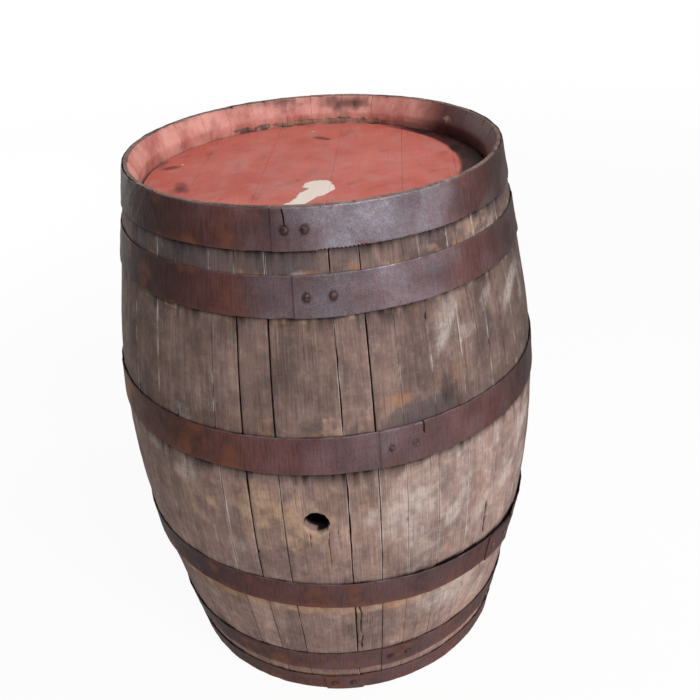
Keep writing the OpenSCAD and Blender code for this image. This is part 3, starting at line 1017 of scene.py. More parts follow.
    def bung_cutter(self) -> Piece:
        """A ragged plug along -Y: a circle whose radius varies with its angle, widening outwards."""
        turn = np.linspace(0.0, FULL_TURN, 97)[:-1][:, None]
        depth = np.linspace(-self.outline.bilge_r - 20.0, -self.outline.bilge_r + 60.0, 21)[None, :]
        ragged = 0.35 * np.cos(3.0 * turn + 1.0) + 0.3 * np.cos(7.0 * turn) + 0.25 * np.cos(12.0 * turn + 2.0)
        mouth = smooth(-depth, self.outline.bilge_r - 7.0, self.outline.bilge_r + 1.0)
        lower = smooth(-np.sin(turn), 0.1, 0.9)
        left = smooth(-np.cos(turn), -0.5, 0.6)
        chipped = lower * (1.6 + 4.2 * left + 1.2 * np.cos(9.0 * turn + 0.6))
        radius = self.bung_r - 0.6 + ragged + mouth * (0.8 + chipped)
        wall = np.stack(
            [radius * np.cos(turn), depth + 0.0 * turn, self.bung_z + radius * np.sin(turn)], axis=-1
        )
        count, rings = wall.shape[:2]
        index = np.arange(count * rings).reshape(count, rings)
        after = np.roll(index, -1, axis=0)
        quads = np.stack([index[:, :-1], index[:, 1:], after[:, 1:], after[:, :-1]], axis=-1).reshape(-1, 4)
        ends = [[0.0, wall[0, 0, 1], self.bung_z], [0.0, wall[0, -1, 1], self.bung_z]]
        points = np.concatenate([wall.reshape(-1, 3), np.array(ends)])
        mesh = bpy.data.meshes.new("bung_cutter")
        base = count * rings
        caps = [(int(after[i, 0]), base, int(index[i, 0])) for i in range(count)]
        caps += [(int(index[i, -1]), base + 1, int(after[i, -1])) for i in range(count)]
        mesh.from_pydata((points * MM).tolist(), [], quads.tolist() + caps)
        mesh.update()
        return add_object("bung_cutter", mesh)

    def dress(self, piece: Piece, number: int, low: float, high: float) -> None:
        """Stores the fields of stains, paint and tone, with their painted shade, over a stave's points."""
        points = positions(piece)
        azimuth = azimuth_of(points)
        radius = np.hypot(points[:, 0], points[:, 1])
        z = points[:, 2]
        depth = self.outline.radius(z) - radius
        off = turn_from(azimuth, low)
        to_joint = np.radians(np.minimum(off, high - low - off)) * self.outline.bilge_r
        weather = Weather(self.outline, azimuth, z, depth, radius - self.inner_radius(z), to_joint, points)
        paint_points(piece, "marks", weather.marks())
        paint_points(piece, "coats_and_shade", weather.coats_and_shade(number))

    def build(self, material: Material) -> None:
        """Builds, dresses and places every stave."""
        names = ["bung_stave"] + [f"stave_{i:02d}" for i in range(1, 34)]
        for number, node in enumerate(names):
            low, high = self.span_of(node)
            points, grain = self.shape(number, low, high)
            piece = lattice_piece(node + "_oak", points, grain)
            if number == 0:
                carve(piece, self.bung_cutter())
            crease(piece, 38.0)
            self.dress(piece, number, low, high)
            place(piece, material, "stave_oak", node)


@dataclass
class Weather:
    """Stains, paint and painted shade over the staves, as smooth fields that the material breaks up."""

    outline: Outline
    azimuth: Array
    z: Array
    depth: Array
    from_inside: Array
    to_joint: Array
    points: Array

    def spot(self, azimuth: float, z: float, wide: float, tall: float) -> Array:
        """A soft spot: a bell in azimuth times a bell in height."""
        off = turn_from(self.azimuth, azimuth)
        return np.exp(-((off / wide) ** 2) - ((self.z - z) / tall) ** 2)

    def noise(self, seed: int, length: float) -> Array:
        """Seeded noise over the points."""
        return point_noise(seed, self.points, length)

    def spots(self, *rows: tuple[float, ...]) -> Array:
        """Sum of soft spots, each row a strength and then the four values of a spot."""
        return sum(strength * self.spot(*values) for strength, *values in rows)

    def panels(self, *rows: tuple[float, ...]) -> Array:
        """Sum of panels: a strength, then low, high and softness in azimuth and in height."""
        return sum(k * window(self.azimuth, *row[:3]) * window(self.z, *row[3:]) for k, *row in rows)

    def lift(self, hoop: HoopSize) -> Array:
        """How far a hoop stands above its mean height over the points."""
        return hoop.rise(self.azimuth, self.outline.radius_at(hoop.middle))

    def below(self, hoop: HoopSize, reach: float) -> Array:
        """1 at a hoop's lower edge, dying away exponentially below it."""
        drop = hoop.low + self.lift(hoop) - self.z
        return np.where(drop > -2.0, np.exp(-np.maximum(drop, 0.0) / reach), 0.0)

    def under(self, hoop: HoopSize, drop: float, soft: float) -> Array:
        """1 from a hoop's lower edge down to a drop below it."""
        return window(hoop.low + self.lift(hoop) - self.z, -6.0, drop, soft)

    def above(self, hoop: HoopSize, reach: float) -> Array:
        """1 at a hoop's upper edge, dying away exponentially above it."""
        climb = self.z - hoop.high - self.lift(hoop)
        return np.where(climb > -2.0, np.exp(-np.maximum(climb, 0.0) / reach), 0.0)

    @property
    def outer(self) -> Array:
        """1 on the outer face of the staves and 0 inside the cask."""
        return smooth(-self.depth, -9.0, -5.0)

    def bare_lip(self) -> Array:
        """1 on the bare wood of the bung hole's wall, at its lower left."""
        x, y, _ = self.points.T
        wall = smooth(self.depth, 0.8, 2.0) * (1.0 - smooth(self.depth, 17.0, 21.0)) * (y < -250.0)
        near = np.hypot(x, self.z - BUNG_Z) < 30.0
        return wall * near * smooth(2.0 - x, 0.0, 4.0) * smooth(BUNG_Z - 2.0 - self.z, 0.0, 4.0)

    def rust(self, slow: Array, quick: Array) -> Array:
        """Rust stain beside the hoops, in runs and in spots."""
        _, quarter, bilge, loose, low_quarter, low_chime = HOOPS
        held = unit(quick)
        slowly = 0.55 * self.below(bilge, 9.0) + 0.4 * self.below(quarter, 8.0) + 0.5 * self.above(loose, 9.0)
        return (
            0.68 * self.under(loose, 29.0, 9.0) * unit(0.45 + 0.6 * quick)
            + slowly * slow
            + 0.8 * (self.above(quarter, 16.0) + self.above(low_quarter, 9.0)) * quick
            + 0.4 * self.above(bilge, 26.0) * held
            + 0.8 * self.above(low_chime, 14.0)
            + 0.75 * self.spot(2.6, 366.0, 0.8, 50.0) * (self.z < 416.0)
            + self.panels((0.5, -12.5, -8.2, 1.0, 579.0, 612.0, 8.0))
            + self.panels((0.3, -7.0, 9.0, 3.0, 579.0, 628.0, 14.0)) * held
            + self.spots(
                (0.5, -11.0, 455.0, 3.5, 30.0), (0.6, 172.0, 480.0, 2.0, 60.0),
                (0.55, -95.0, 625.0, 9.0, 16.0), (0.5, 128.0, 700.0, 6.0, 30.0),
                (0.7, 22.0, 622.0, 5.0, 14.0), (0.55, 38.0, 640.0, 5.0, 18.0),
                (0.35, -21.0, 604.0, 6.0, 18.0),
            )
        )

    def slate(self, slow: Array) -> Array:
        """Blue-grey stain under the upper chime hoop and over the bilge."""
        return (
            0.62 * window(self.z, 810.0, 846.0, 4.0) * unit(slow * 1.3)
            + 0.2 * unit(self.noise(13, 90.0) - 0.7)
            + self.panels(
                (0.4, -75.0, 2.0, 6.0, 814.0, 850.0, 4.0), (1.0, -1.9, 3.1, 0.4, 578.0, 604.0, 2.5),
                (0.6, 16.4, 21.5, 1.0, 578.0, 602.0, 5.0), (0.9, 20.0, 37.0, 1.5, 578.0, 612.0, 7.0),
            )
            + self.spots(
                (0.35, -12.0, 630.0, 7.0, 30.0), (0.35, 22.0, 738.0, 8.0, 15.0),
                (0.6, 32.5, 452.0, 2.0, 45.0), (0.5, 3.0, 512.0, 8.0, 18.0),
                (0.4, 30.0, 215.0, 5.0, 30.0), (0.25, -25.0, 190.0, 10.0, 30.0),
            )
        )

    def pale(self, quick: Array) -> Array:
        """Limewash in patches, pale dust at the joints and scuffs over two hoops."""
        _, quarter, bilge, *_ = HOOPS
        dusty = unit(0.65 + 0.4 * self.noise(16, 90.0)) * smooth(self.z, 120.0, 320.0)
        joints = np.exp(-((self.to_joint / 1.3) ** 2)) * dusty * (self.depth < 2.4)
        scuffs = (self.above(bilge, 1.6) + self.above(quarter, 1.6)) * unit(0.3 + 0.6 * self.noise(17, 50.0))
        return (
            joints
            + 0.75 * scuffs
            + 0.5 * unit(self.noise(14, 130.0) - 0.75)
            + 0.45 * self.bare_lip()
            + self.panels((0.66, 18.0, 76.0, 7.0, 300.0, 525.0, 18.0)) * (0.6 + 0.4 * quick)
            + self.panels(
                (0.3, 26.0, 62.0, 6.0, 812.0, 846.0, 5.0), (0.3, 20.0, 66.0, 8.0, 120.0, 235.0, 12.0),
            )
            + self.spots(
                (0.58, 41.0, 690.0, 9.0, 36.0), (0.42, 62.0, 700.0, 9.0, 60.0),
                (0.45, 18.0, 430.0, 9.0, 50.0), (0.85, 38.0, 205.0, 12.0, 36.0),
                (0.75, -47.0, 505.0, 6.0, 22.0), (0.4, -36.0, 470.0, 4.0, 20.0),
                (0.35, -52.0, 690.0, 9.0, 30.0), (0.6, 150.0, 440.0, 16.0, 60.0),
                (0.55, -132.0, 690.0, 12.0, 40.0), (0.5, -164.0, 215.0, 16.0, 30.0),
                (0.85, -22.9, 430.0, 0.28, 90.0),
            )
        )

    def soot_and_shade(self) -> Array:
        """Dirt in drips below the hoops and inside the cask, with painted shade in dark bands beside the hoops' edges,
        on the wood behind every hoop, in the gap behind the loose hoop and on the bung hole's wall.
        """
        top, quarter, bilge, loose, low_quarter, _ = HOOPS
        drips = unit(0.1 + 0.75 * ripple(19, (self.azimuth * 6.0, 26.0), (self.z, 260.0)))
        runs = self.below(top, 26.0) + self.below(quarter, 60.0) + self.below(bilge, 55.0)
        gap = window(self.z - loose.high - self.lift(loose), -12.0, 2.2, 1.6)
        # Painted shade: dark bands under the hoops' lower edges and over the loose hoop's upper edge, and a dark strip
        # in the gap behind the loose hoop; the spots and drips are dirt.
        soot_and_shade = (
            0.75 * self.below(top, 7.0) + 0.7 * self.below(quarter, 7.0) + 0.8 * self.below(bilge, 8.0)
            + 0.5 * self.below(loose, 3.5) + 0.6 * self.below(low_quarter, 5.0) + 0.35 * self.above(loose, 4.0)
            + self.spots((0.35, 3.0, 512.0, 9.0, 14.0), (0.4, 35.0, 612.0, 3.0, 22.0))
            + 1.2 * window(self.azimuth, 31.5, 46.0, 1.5) * gap
            + 0.42 * drips * runs
        )
        # Painted shade on the wood that each hoop covers.
        for hoop in HOOPS:
            soot_and_shade = soot_and_shade + 0.95 * window(self.z - self.lift(hoop), hoop.low + 2.0, hoop.high - 1.5, 0.8)
        inside = 1.0 - self.outer
        hidden = inside * window(self.z, 48.0, 851.0, 1.5)
        walls = smooth(self.depth, 1.6, 3.2) * smooth(self.from_inside, 1.2, 2.4) * window(self.z, 8.0, 892.0, 2.0)
        hole = (np.hypot(self.points[:, 0], self.z - BUNG_Z) < 24.0) & (self.points[:, 1] < 0.0)
        stained = 0.3 * unit(self.noise(18, 50.0) - 0.3) + self.spots(
            (0.75, 173.0, 886.0, 9.0, 10.0), (0.5, -160.0, 893.0, 14.0, 5.0), (0.45, 146.0, 856.0, 16.0, 5.0),
        )
        soot_and_shade = soot_and_shade * self.outer + 0.85 * walls * ~hole + 0.5 * hidden
        soot_and_shade = soot_and_shade + stained * inside * smooth(self.z, 846.0, 850.0)
        # Painted shade on the bung hole's wall.
        soot_and_shade = soot_and_shade + 0.85 * smooth(self.depth, 3.0, 8.0) * hole * (self.points[:, 1] < -250.0)
        return soot_and_shade * (1.0 - 0.9 * self.bare_lip())

    def marks(self) -> list[Array]:
        """Fields of rust stain, slate stain, limewash, and dark dirt and painted shade."""
        slow = 0.5 + 0.32 * self.noise(11, 120.0)
        quick = 0.5 + 0.32 * self.noise(12, 45.0)
        keep = self.outer * (self.z > 0.5)
        stains = self.rust(slow, quick), self.slate(slow), self.pale(quick)
        return [*(unit(stain * keep) for stain in stains), unit(self.soot_and_shade())]

    def tone(self, number: int) -> Array:
        """Lightness of the wood: one draw a stave, times the changes over the cask, among them painted shade towards
        the far right and the left.
        """
        a, z = self.azimuth, self.z
        tone = np.random.default_rng(50 + number).uniform(0.9, 1.1)
        if number == 1:
            tone = 1.04 + 0.14 * window(z, 590.0, 760.0, 30.0)
        lower = 1.0 - smooth(z, 500.0, 560.0)
        zone = 0.76 + 0.34 * lower + 0.2 * lower * window(a, 22.0, 70.0, 8.0)
        zone = zone + 0.3 * (1.0 - smooth(z, 240.0, 290.0)) * window(a, 16.0, 70.0, 10.0)
        # Painted shade: the wood darkens towards the far right, and a little towards the left, as the sides turn from
        # the light; round the back it eases to one level.
        shade_from, shade_to = 58.0 - 18.0 * (1.0 - lower), 84.0 - 14.0 * (1.0 - lower)
        side = 1.0 - 0.08 * smooth(-a, 12.0, 50.0) - 0.35 * smooth(a, shade_from, shade_to)
        side = side - 0.15 * window(a, -80.0, 0.0, 6.0) * smooth(z, 800.0, 815.0)
        side = side + 0.13 * window(a, -46.0, -19.0, 6.0) * (1.0 - smooth(z, 740.0, 780.0))
        side = side + self.panels((0.12, 16.0, 27.0, 4.0, 600.0, 760.0, 25.0))
        behind = np.abs(a)
        side = np.where(behind > 100.0, side + (0.85 - side) * smooth(behind, 100.0, 130.0), side)
        tone = tone * zone * side * (1.0 + 0.07 * self.noise(23, 150.0) + 0.05 * self.noise(24, 60.0))
        tone = tone * (1.0 - 0.16 * window(z, 578.0, 602.0, 10.0))
        tone = tone * (1.0 - 0.12 * window(a, -16.0, 18.0, 5.0) * (1.0 - smooth(z, 225.0, 245.0)))
        return tone + 0.3 * self.bare_lip() + 0.15 * smooth(z, 896.5, 899.0)

    def coats_and_shade(self, number: int) -> list[Array]:
        """Fields of paint inside the chime, bare ochre wood, tone with painted side shade, and dark maroon as painted
        shade on the right of the chime's inner wall.
        """
        quick = self.noise(21, 40.0)
        inner_wall = smooth(self.depth, 3.4, 5.5) * smooth(self.z, 846.0, 849.0)
        bare_band = hump(np.abs(self.azimuth), 180.0, 42.0) * window(self.z, 852.0, 862.0, 3.0)
        flaw = self.spot(128.0, 879.0, 3.5, 8.0)
        worn_off = 0.85 * bare_band + 0.35 * unit(quick - 0.6) + 0.9 * smooth(self.z, 896.5, 899.5)
        paint = inner_wall * unit(1.0 - worn_off) * (1.0 - 0.8 * flaw)
        # Painted shade: dark maroon over the right of the chime's inner wall.
        shade_maroon = 0.92 * window(self.azimuth, 46.0, 137.0, 9.0) * inner_wall
        ochre = (
            0.75 * self.spot(0.0, BUNG_Z, 7.5, 44.0) * (1.0 - 0.6 * self.spot(0.0, BUNG_Z, 2.6, 16.0))
            + 0.6 * window(self.z, 744.0, 758.0, 3.0) * unit(0.5 + 0.5 * quick)
            + 0.85 * self.under(HOOPS[3], 25.0, 7.0) * unit(0.8 + 0.35 * quick)
            + 0.35 * window(self.z, 300.0, 525.0, 30.0) * unit(0.4 + 0.5 * self.noise(22, 90.0))
            + self.panels((0.6, 26.0, 58.0, 4.0, 812.0, 842.0, 5.0)) * unit(0.4 + 0.5 * quick)
            + self.panels(
                (0.45, 8.8, 15.4, 0.6, 578.0, 612.0, 8.0), (0.6, 3.4, 8.1, 0.5, 578.0, 612.0, 7.0),
                (0.42, -7.4, -2.1, 0.6, 578.0, 602.0, 7.0),
            )
            + self.spots((0.5, -12.0, 450.0, 8.0, 60.0), (0.35, -29.0, 440.0, 9.0, 60.0))
        )
        ochre = ochre * self.outer + 0.8 * bare_band * inner_wall + 0.8 * flaw * (1.0 - self.outer)
        ochre = ochre + 0.4 * smooth(self.z, 896.5, 899.0) * unit(0.4 + quick)
        return [unit(paint), unit(ochre), self.tone(number), unit(shade_maroon)]


# ---------------------------------------------------------------- heads


@dataclass
class Head:
    """One head of six boards, which sits in the croze at one end of the cask."""

    prefix: str
    outline: Outline
    is_top: bool
    rise: float = 60.0
    lip_r: float = 282.1
    thickness: float = 24.0
    lip: float = 5.4
    bevel_out: float = 5.0
    bevel_in: float = 26.0
    joint_gap: float = 0.3
    boards: int = 6
    # Dark ovals on the upper head: centre, half width, half length, lean and strength.
    OVALS: ClassVar[tuple[tuple[float, ...], ...]] = (
        (-4.0, 177.0, 17.0, 8.0, -30.0, 0.75), (-237.0, 40.0, 17.0, 10.0, 25.0, 0.65),
        (11.0, 169.0, 3.5, 3.0, 0.0, 1.0), (-199.0, -61.0, 12.0, 30.0, 20.0, 0.55),
    )
    # Centres of the small drops of white paint on the upper head.
    DOTS: ClassVar[tuple[tuple[float, float], ...]] = (
        (-223.0, 54.0), (-197.0, 87.0), (-20.0, 220.0), (120.0, 60.0), (61.0, -190.0),
    )

    @property
    def tongue_r(self) -> float:
        """Radius of a head's body, inside the staves."""
        return self.outline.radius_at(self.rise - self.thickness / 2.0) - 25.0 - 0.3

    def board(self, number: int, low: float, high: float) -> tuple[Array, Array]:
        """Lattice of one board and its grain map.

        Each layer through the head is a disc of its own radius, cut at the board's two
        edges, and y is the share along the board times the half chord at x.

        Args:
            number: Place of the board, counted from -X.
            low: Its lower edge along X.
            high: Its upper edge along X.

        Returns:
            Points of shape (across, along, through, 3) and their surface coordinates.
        """
        layers = np.array([
            [-self.thickness / 2.0, self.tongue_r - self.bevel_in],
            [-self.lip / 2.0, self.tongue_r], [-self.lip / 2.0, self.lip_r],
            [self.lip / 2.0, self.lip_r], [self.lip / 2.0, self.tongue_r],
            [self.thickness / 2.0 - 0.7, self.tongue_r - self.bevel_out + 0.6],
            [self.thickness / 2.0, self.tongue_r - self.bevel_out - 0.8],
        ])
        rise, radius = layers[:, 0], layers[:, 1]
        width = high - low
        edge = np.array([0.0, 0.6, 1.5, 3.0])
        middle = np.arange(6.0, width - 5.0, 4.2)
        across = (np.concatenate([edge, middle, (width - edge)[::-1]]) / width)[:, None, None]
        ends = np.concatenate([[0.0, 0.004, 0.01], np.linspace(0.02, 0.98, 116), [0.99, 0.996, 1.0]])
        share = (2.0 * ends - 1.0)[None, :, None]
        left = np.maximum(low + self.joint_gap / 2.0, -radius + 0.05)
        right = np.minimum(high - self.joint_gap / 2.0, radius - 0.05)
        x = left + (right - left) * across
        x, share = np.broadcast_arrays(x, share)
        y = share * np.sqrt(np.maximum(radius**2 - x**2, 0.0))
        on_face = smooth(rise, self.thickness / 2.0 - 1.2, self.thickness / 2.0)
        seed = 1000 + 10 * number + (0 if self.is_top else 5)
        cup = 0.35 * (1.0 - (2.0 * across - 1.0) ** 2)
        edge_wear = 0.1 * (hump(across * width, 0.0, 1.3) + hump((1.0 - across) * width, 0.0, 1.3))
        waves = 0.12 * np.abs(ripple(seed, (x, 50.0), (y, 160.0)))
        settle = 0.25 * np.abs(math.sin(2.3 * number))
        sink = on_face * (0.35 - cup + edge_wear + waves + settle)
        z = rise - np.maximum(sink, 0.0) + 0.0 * x
        start = 3.0 * number + 50.0
        grain = np.stack([(x + (self.thickness / 2.0 - z)) * MM + start, y * MM + start + 0.0 * x], axis=-1)
        if self.is_top:
            return np.stack([x, y + 0.0 * x, self.outline.height - self.rise + z], axis=-1), grain
        points = np.stack([x, y + 0.0 * x, self.rise - z], axis=-1)
        return points[:, ::-1], grain[:, ::-1]

    def dress(self, piece: Piece, edges: tuple[float, float]) -> None:
        """Stores the fields of the smear, dirt with a painted rim shadow, dusty patches with a painted highlight, and
        bare wood over a board's points.
        """
        points = positions(piece)
        x, y, z = points.T
        radius = np.hypot(x, y)
        noise = ripple(31, (x, 60.0), (y, 60.0))
        near_edge = np.minimum(np.abs(x - edges[0]), np.abs(x - edges[1]))
        if not self.is_top:
            no_smear = np.full_like(x, Smear.OUTSIDE)
            fields = [no_smear, unit(0.5 + 0.2 * noise), 0.4 + 0.0 * x, unit(0.3 + 0.2 * noise)]
            paint_points(piece, "spots", fields)
            return
        smear = Smear().reach(x, y)
        dirt = 0.6 * hump(radius, 279.0, 4.0) * unit(0.6 + 0.5 * noise)
        dirt = dirt + 0.25 * hump(radius, 270.0, 20.0) * unit(0.5 + 0.5 * noise)
        for cx, cy, wide, tall, lean, strength in self.OVALS:
            turn = math.radians(lean)
            u = (x - cx) * math.cos(turn) + (y - cy) * math.sin(turn)
            v = (y - cy) * math.cos(turn) - (x - cx) * math.sin(turn)
            dirt = dirt + strength * np.exp(-(((u / wide) ** 2 + (v / tall) ** 2) ** 2))
        azimuth = azimuth_of(points)
        # Painted shadow: a dark crescent on the right of the head, where the rim's shadow falls.
        dirt = dirt + 0.95 * smooth(np.hypot(x + 36.0, y - 8.0), 262.0, 270.0) * window(azimuth, 24.0, 150.0, 12.0)
        dirt = dirt + 0.06 * hump(near_edge, 0.0, 1.2) * unit(0.4 + 0.6 * ripple(33, (x, 40.0), (y, 90.0)))
        dirt = dirt + 0.25 * unit(ripple(34, (x, 45.0), (y, 70.0)) - 0.8)
        side = (z < self.outline.height - self.rise + self.thickness / 2.0 - 5.0) * 0.3
        # Painted highlight: a pale patch left of the smear, plus pale dust scattered by noise.
        glow = 0.85 * hump(x, -45.0, 26.0) * hump(y, -70.0, 20.0) + 0.45 * unit(noise - 0.3)
        for cx, cy in self.DOTS:
            smear = np.maximum(smear, 3.2 - np.hypot(x - cx, y - cy))
        bare = 0.55 * hump(radius, 276.0, 6.0) * smooth(y, 100.0, 200.0)
        paint_points(piece, "spots", [smear, unit(dirt + side), unit(glow), unit(bare)])

    def build(self, material: Material) -> None:
        """Builds, dresses and places the six boards, whose edges come from their solids."""
        for number in range(self.boards):
            node = f"{self.prefix}_head_board_{number + 1}"
            corner, far_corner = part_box(node)
            low, high = corner[0] / MM, far_corner[0] / MM
            half = self.joint_gap / 2.0
            edges = (low - (half if number else 0.0), high + (half if number < self.boards - 1 else 0.0))
            points, grain = self.board(number, *edges)
            piece = lattice_piece(node + "_oak", points, grain)
            crease(piece, 40.0)
            self.dress(piece, edges)
            place(piece, material, "painted_oak", node)


@dataclass(frozen=True)
class Smear:
    """A daub of white paint wiped across the upper head: a chain of round strokes."""

    path: tuple[tuple[float, float, float], ...] = (
        (0.0, -70.0, 13.0), (14.0, -66.0, 18.0), (20.0, -84.0, 19.0), (6.0, -108.0, 17.0),
        (-8.0, -136.0, 13.0), (-30.0, -170.0, 8.0),
    )
    OUTSIDE: ClassVar[float] = -60.0

    def reach(self, x: Array, y: Array) -> Array:
        """Distance inside the daub's outline: the greatest over its strokes of radius less distance."""
        best = np.full_like(x, self.OUTSIDE)
        for (ax, ay, ar), (bx, by, br) in zip(self.path[:-1], self.path[1:]):
            length = math.hypot(bx - ax, by - ay)
            share = unit(((x - ax) * (bx - ax) + (y - ay) * (by - ay)) / length**2)
            away = np.hypot(x - ax - share * (bx - ax), y - ay - share * (by - ay))
            best = np.maximum(best, ar + (br - ar) * share - away)
        return best


# ---------------------------------------------------------------- hoops


@dataclass
class Hoop:
    """One hoop: a strip of steel whose outer end steps out and laps over its inner end."""

    size: HoopSize
    outline: Outline
    thickness: float = 2.0
    lap_clearance: float = 0.2
    lap_tail: float = 16.0
    rivet_edge: float = 15.0
    joggle: float = 3.0
    end_gap: float = 1.0
    step: float = 3.0
    fine_step: float = 0.9
    reach: float = 350.1

    def degrees(self, length: float) -> float:
        """Angle that a length takes up at the hoop's mid line."""
        return math.degrees(length / self.outline.radius_at(self.size.middle))

    @property
    def lap(self) -> float:
        """Angle over which the strip lies double."""
        return self.degrees(self.rivet_edge + self.size.pitch + self.lap_tail)

    def path(self) -> Array:
        """Angles along the strip from its inner end, closer at the ends, the step and worked edges."""
        full = 360.0 + self.lap
        start = self.degrees(self.end_gap)
        coarse = np.arange(start, full, self.degrees(self.step))
        fine = [np.arange(360.0 - self.degrees(self.joggle) - 1.0, 361.2, self.degrees(self.fine_step))]
        fine.append(np.arange(full - 1.6, full, self.degrees(self.fine_step)))
        if self.size.node == "top_chime_hoop":
            worked = self.to_path(np.array([5.6, 19.0]))
            fine.append(np.arange(min(worked), max(worked), self.degrees(self.fine_step)))
        marks = np.concatenate([coarse] + fine + [[start, full]])
        marks = np.unique(np.round(marks, 4))
        return marks[np.concatenate([[True], np.diff(marks) > self.degrees(0.35)])]

    def to_path(self, azimuth: Array) -> Array:
        """Angle along the strip of an azimuth, within the first turn."""
        side = self.size.side.value
        lap_start = side * self.size.lap_end - self.lap
        return (side * azimuth - lap_start) % 360.0

    def tilt(self, points: Array) -> Array:
        """Swings the points about the hoop's centre, as the loose hoop hangs."""
        if not self.size.tilt:
            return points
        turn = Matrix.Rotation(math.radians(self.size.tilt_azimuth - 90.0), 3, "Z")
        lean = Matrix.Rotation(math.radians(self.size.tilt), 3, "Y")
        whole = np.array(turn @ lean @ turn.inverted())
        centre = np.array([0.0, 0.0, self.size.middle])
        return (points - centre) @ whole.T + centre

    def shape(self, seed: int) -> tuple[Array, Array]:
        """Lattice of the strip and its flow map.

        The strip's section is straight between the outline's radii at its two edges, moved
        out to touch at its middle. Going round, the radius rises smoothly by one thickness
        at the lap's step. Slow dents, a rounded arris and a wavy edge are added.

        Args:
            seed: Seed of the dents and waves.

        Returns:
            Points of shape (along, across, through, 3) and their surface coordinates.
        """
        size = self.size
        along = self.path()[:, None, None]
        side = size.side.value
        lap_start = side * size.lap_end - self.lap
        azimuth = side * (lap_start + along)
        edge = np.array([0.0, 0.25, 0.8, 2.0, 4.5]) / size.width
        inner_rows = np.linspace(8.0, size.width - 8.0, 9) / size.width
        share = np.concatenate([edge, inner_rows, (1.0 - edge)[::-1]])[None, :, None]
        through = np.array([0.0, 0.5, 1.0])[None, None, :]
        z = size.low + share * size.width
        low_r, middle_r, high_r = (self.outline.radius_at(at) for at in (size.low, size.middle, size.high))
        bulge = middle_r - 0.5 * (low_r + high_r)
        low_r, high_r = low_r + bulge, high_r + bulge
        joggle = self.degrees(self.joggle)
        step = (self.thickness + self.lap_clearance) * smooth(along, 360.0 - joggle, 360.0 - 0.1 * joggle)
        x, y = 300.0 * np.sin(np.radians(azimuth)), 300.0 * np.cos(np.radians(azimuth))
        calm = 1.0 - window(along, 360.0 - 2.0 * joggle, 1000.0, joggle) * 0.85
        calm = calm * smooth(along, self.lap + 0.4, self.lap + 2.5)
        dents = 0.2 * ripple(seed, (x, 55.0), (y, 55.0), (z, 55.0))
        dents = dents + 0.12 * ripple(seed + 1, (x, 20.0), (y, 20.0), (z, 22.0))
        dents = np.clip(dents + 0.12, -0.2, 0.75) * calm
        from_middle = np.abs(2.0 * share - 1.0)
        lifted = 0.55 * np.clip(ripple(seed + 2, (x, 90.0), (y, 90.0)), -0.5, 1.4) * from_middle**3 * calm
        radius = low_r + (high_r - low_r) * share + size.clearance + step + dents + np.maximum(lifted, 0.0)
        arris = hump(share * size.width, 0.0, 0.5) + hump((1.0 - share) * size.width, 0.0, 0.5)
        half = self.thickness * (0.5 - 0.3 * np.minimum(arris, 1.0))
        radius = np.minimum(radius, self.reach + step)
        middle = radius + self.thickness / 2.0
        radius = middle + (2.0 * through - 1.0) * half
        wave = 0.35 * ripple(seed + 3, (x, 70.0), (y, 70.0)) + 0.15 * ripple(seed + 4, (x, 12.0), (y, 12.0))
        inward = np.where(share > 0.5, -0.6, 0.6)
        z = z + np.clip(wave, -0.8, 0.8) * calm * from_middle**2 * inward
        radius, z = self.local_wear(azimuth, share, radius, z, along)
        points = self.tilt(cylindrical(azimuth, radius, z + 0.0 * radius))
        flow_x = (side * along * math.pi / 180.0 * self.outline.radius(size.middle)) * MM + seed
        flow = np.stack(np.broadcast_arrays(flow_x + 0.0 * radius, z * MM + 0.0 * radius), axis=-1)
        if side < 0:
            return points[::-1], flow[::-1]
        return points, flow

    @staticmethod
    def blows(azimuth: Array, low: float, high: float, soft: float, radius: float, pitch: float) -> Array:
        """Hammer blows in a row between two azimuths, a pitch apart on a circle of that radius."""
        row = np.cos(np.radians(azimuth) * radius * FULL_TURN / pitch)
        return window(azimuth % 360.0, low, high, soft) * unit(row)

    def local_wear(
        self, azimuth: Array, share: Array, radius: Array, z: Array, along: Array
    ) -> tuple[Array, Array]:
        """Adds the marks that belong to one hoop: hammer blows, a raised lap end or a bent lip.

        Args:
            azimuth: Azimuth of each step along the strip.
            share: Share of the width, from the lower edge up.
            radius: Radius of each point.
            z: Height of each point.
            along: Angle along the strip from its inner end.

        Returns:
            The new radius and the new height.
        """
        foot = (1.0 - smooth(share, 0.0, 0.1)) + 0.0 * azimuth
        head = smooth(share, 0.82, 1.0) + 0.0 * azimuth
        first = window(along, -1.0, 355.0, 1.0)
        if self.size.node == "top_chime_hoop":
            z = z + foot * first * self.blows(azimuth, 6.2, 18.4, 0.5, 289.0, 5.2) * 1.7
        if self.size.node == "top_bilge_hoop":
            end = smooth(along, 360.0 + self.lap - 6.0, 360.0 + self.lap)
            radius = radius + 2.2 * head * end
            z = z + 1.6 * head * end
            z = z + foot * first * self.blows(azimuth, 31.0, 40.0, 0.6, 350.0, 7.0) * 1.2
        if self.size.node == "low_bilge_hoop":
            radius = radius - 3.9 * window(azimuth % 360.0, 64.8, 122.0, 2.4)
            lip = hump(azimuth % 360.0, 29.5, 1.3) * first
            radius = radius + 3.2 * lip * (1.0 - smooth(share, 0.0, 0.22))
            z = z + 2.0 * lip * foot
        return radius, z + 0.0 * radius

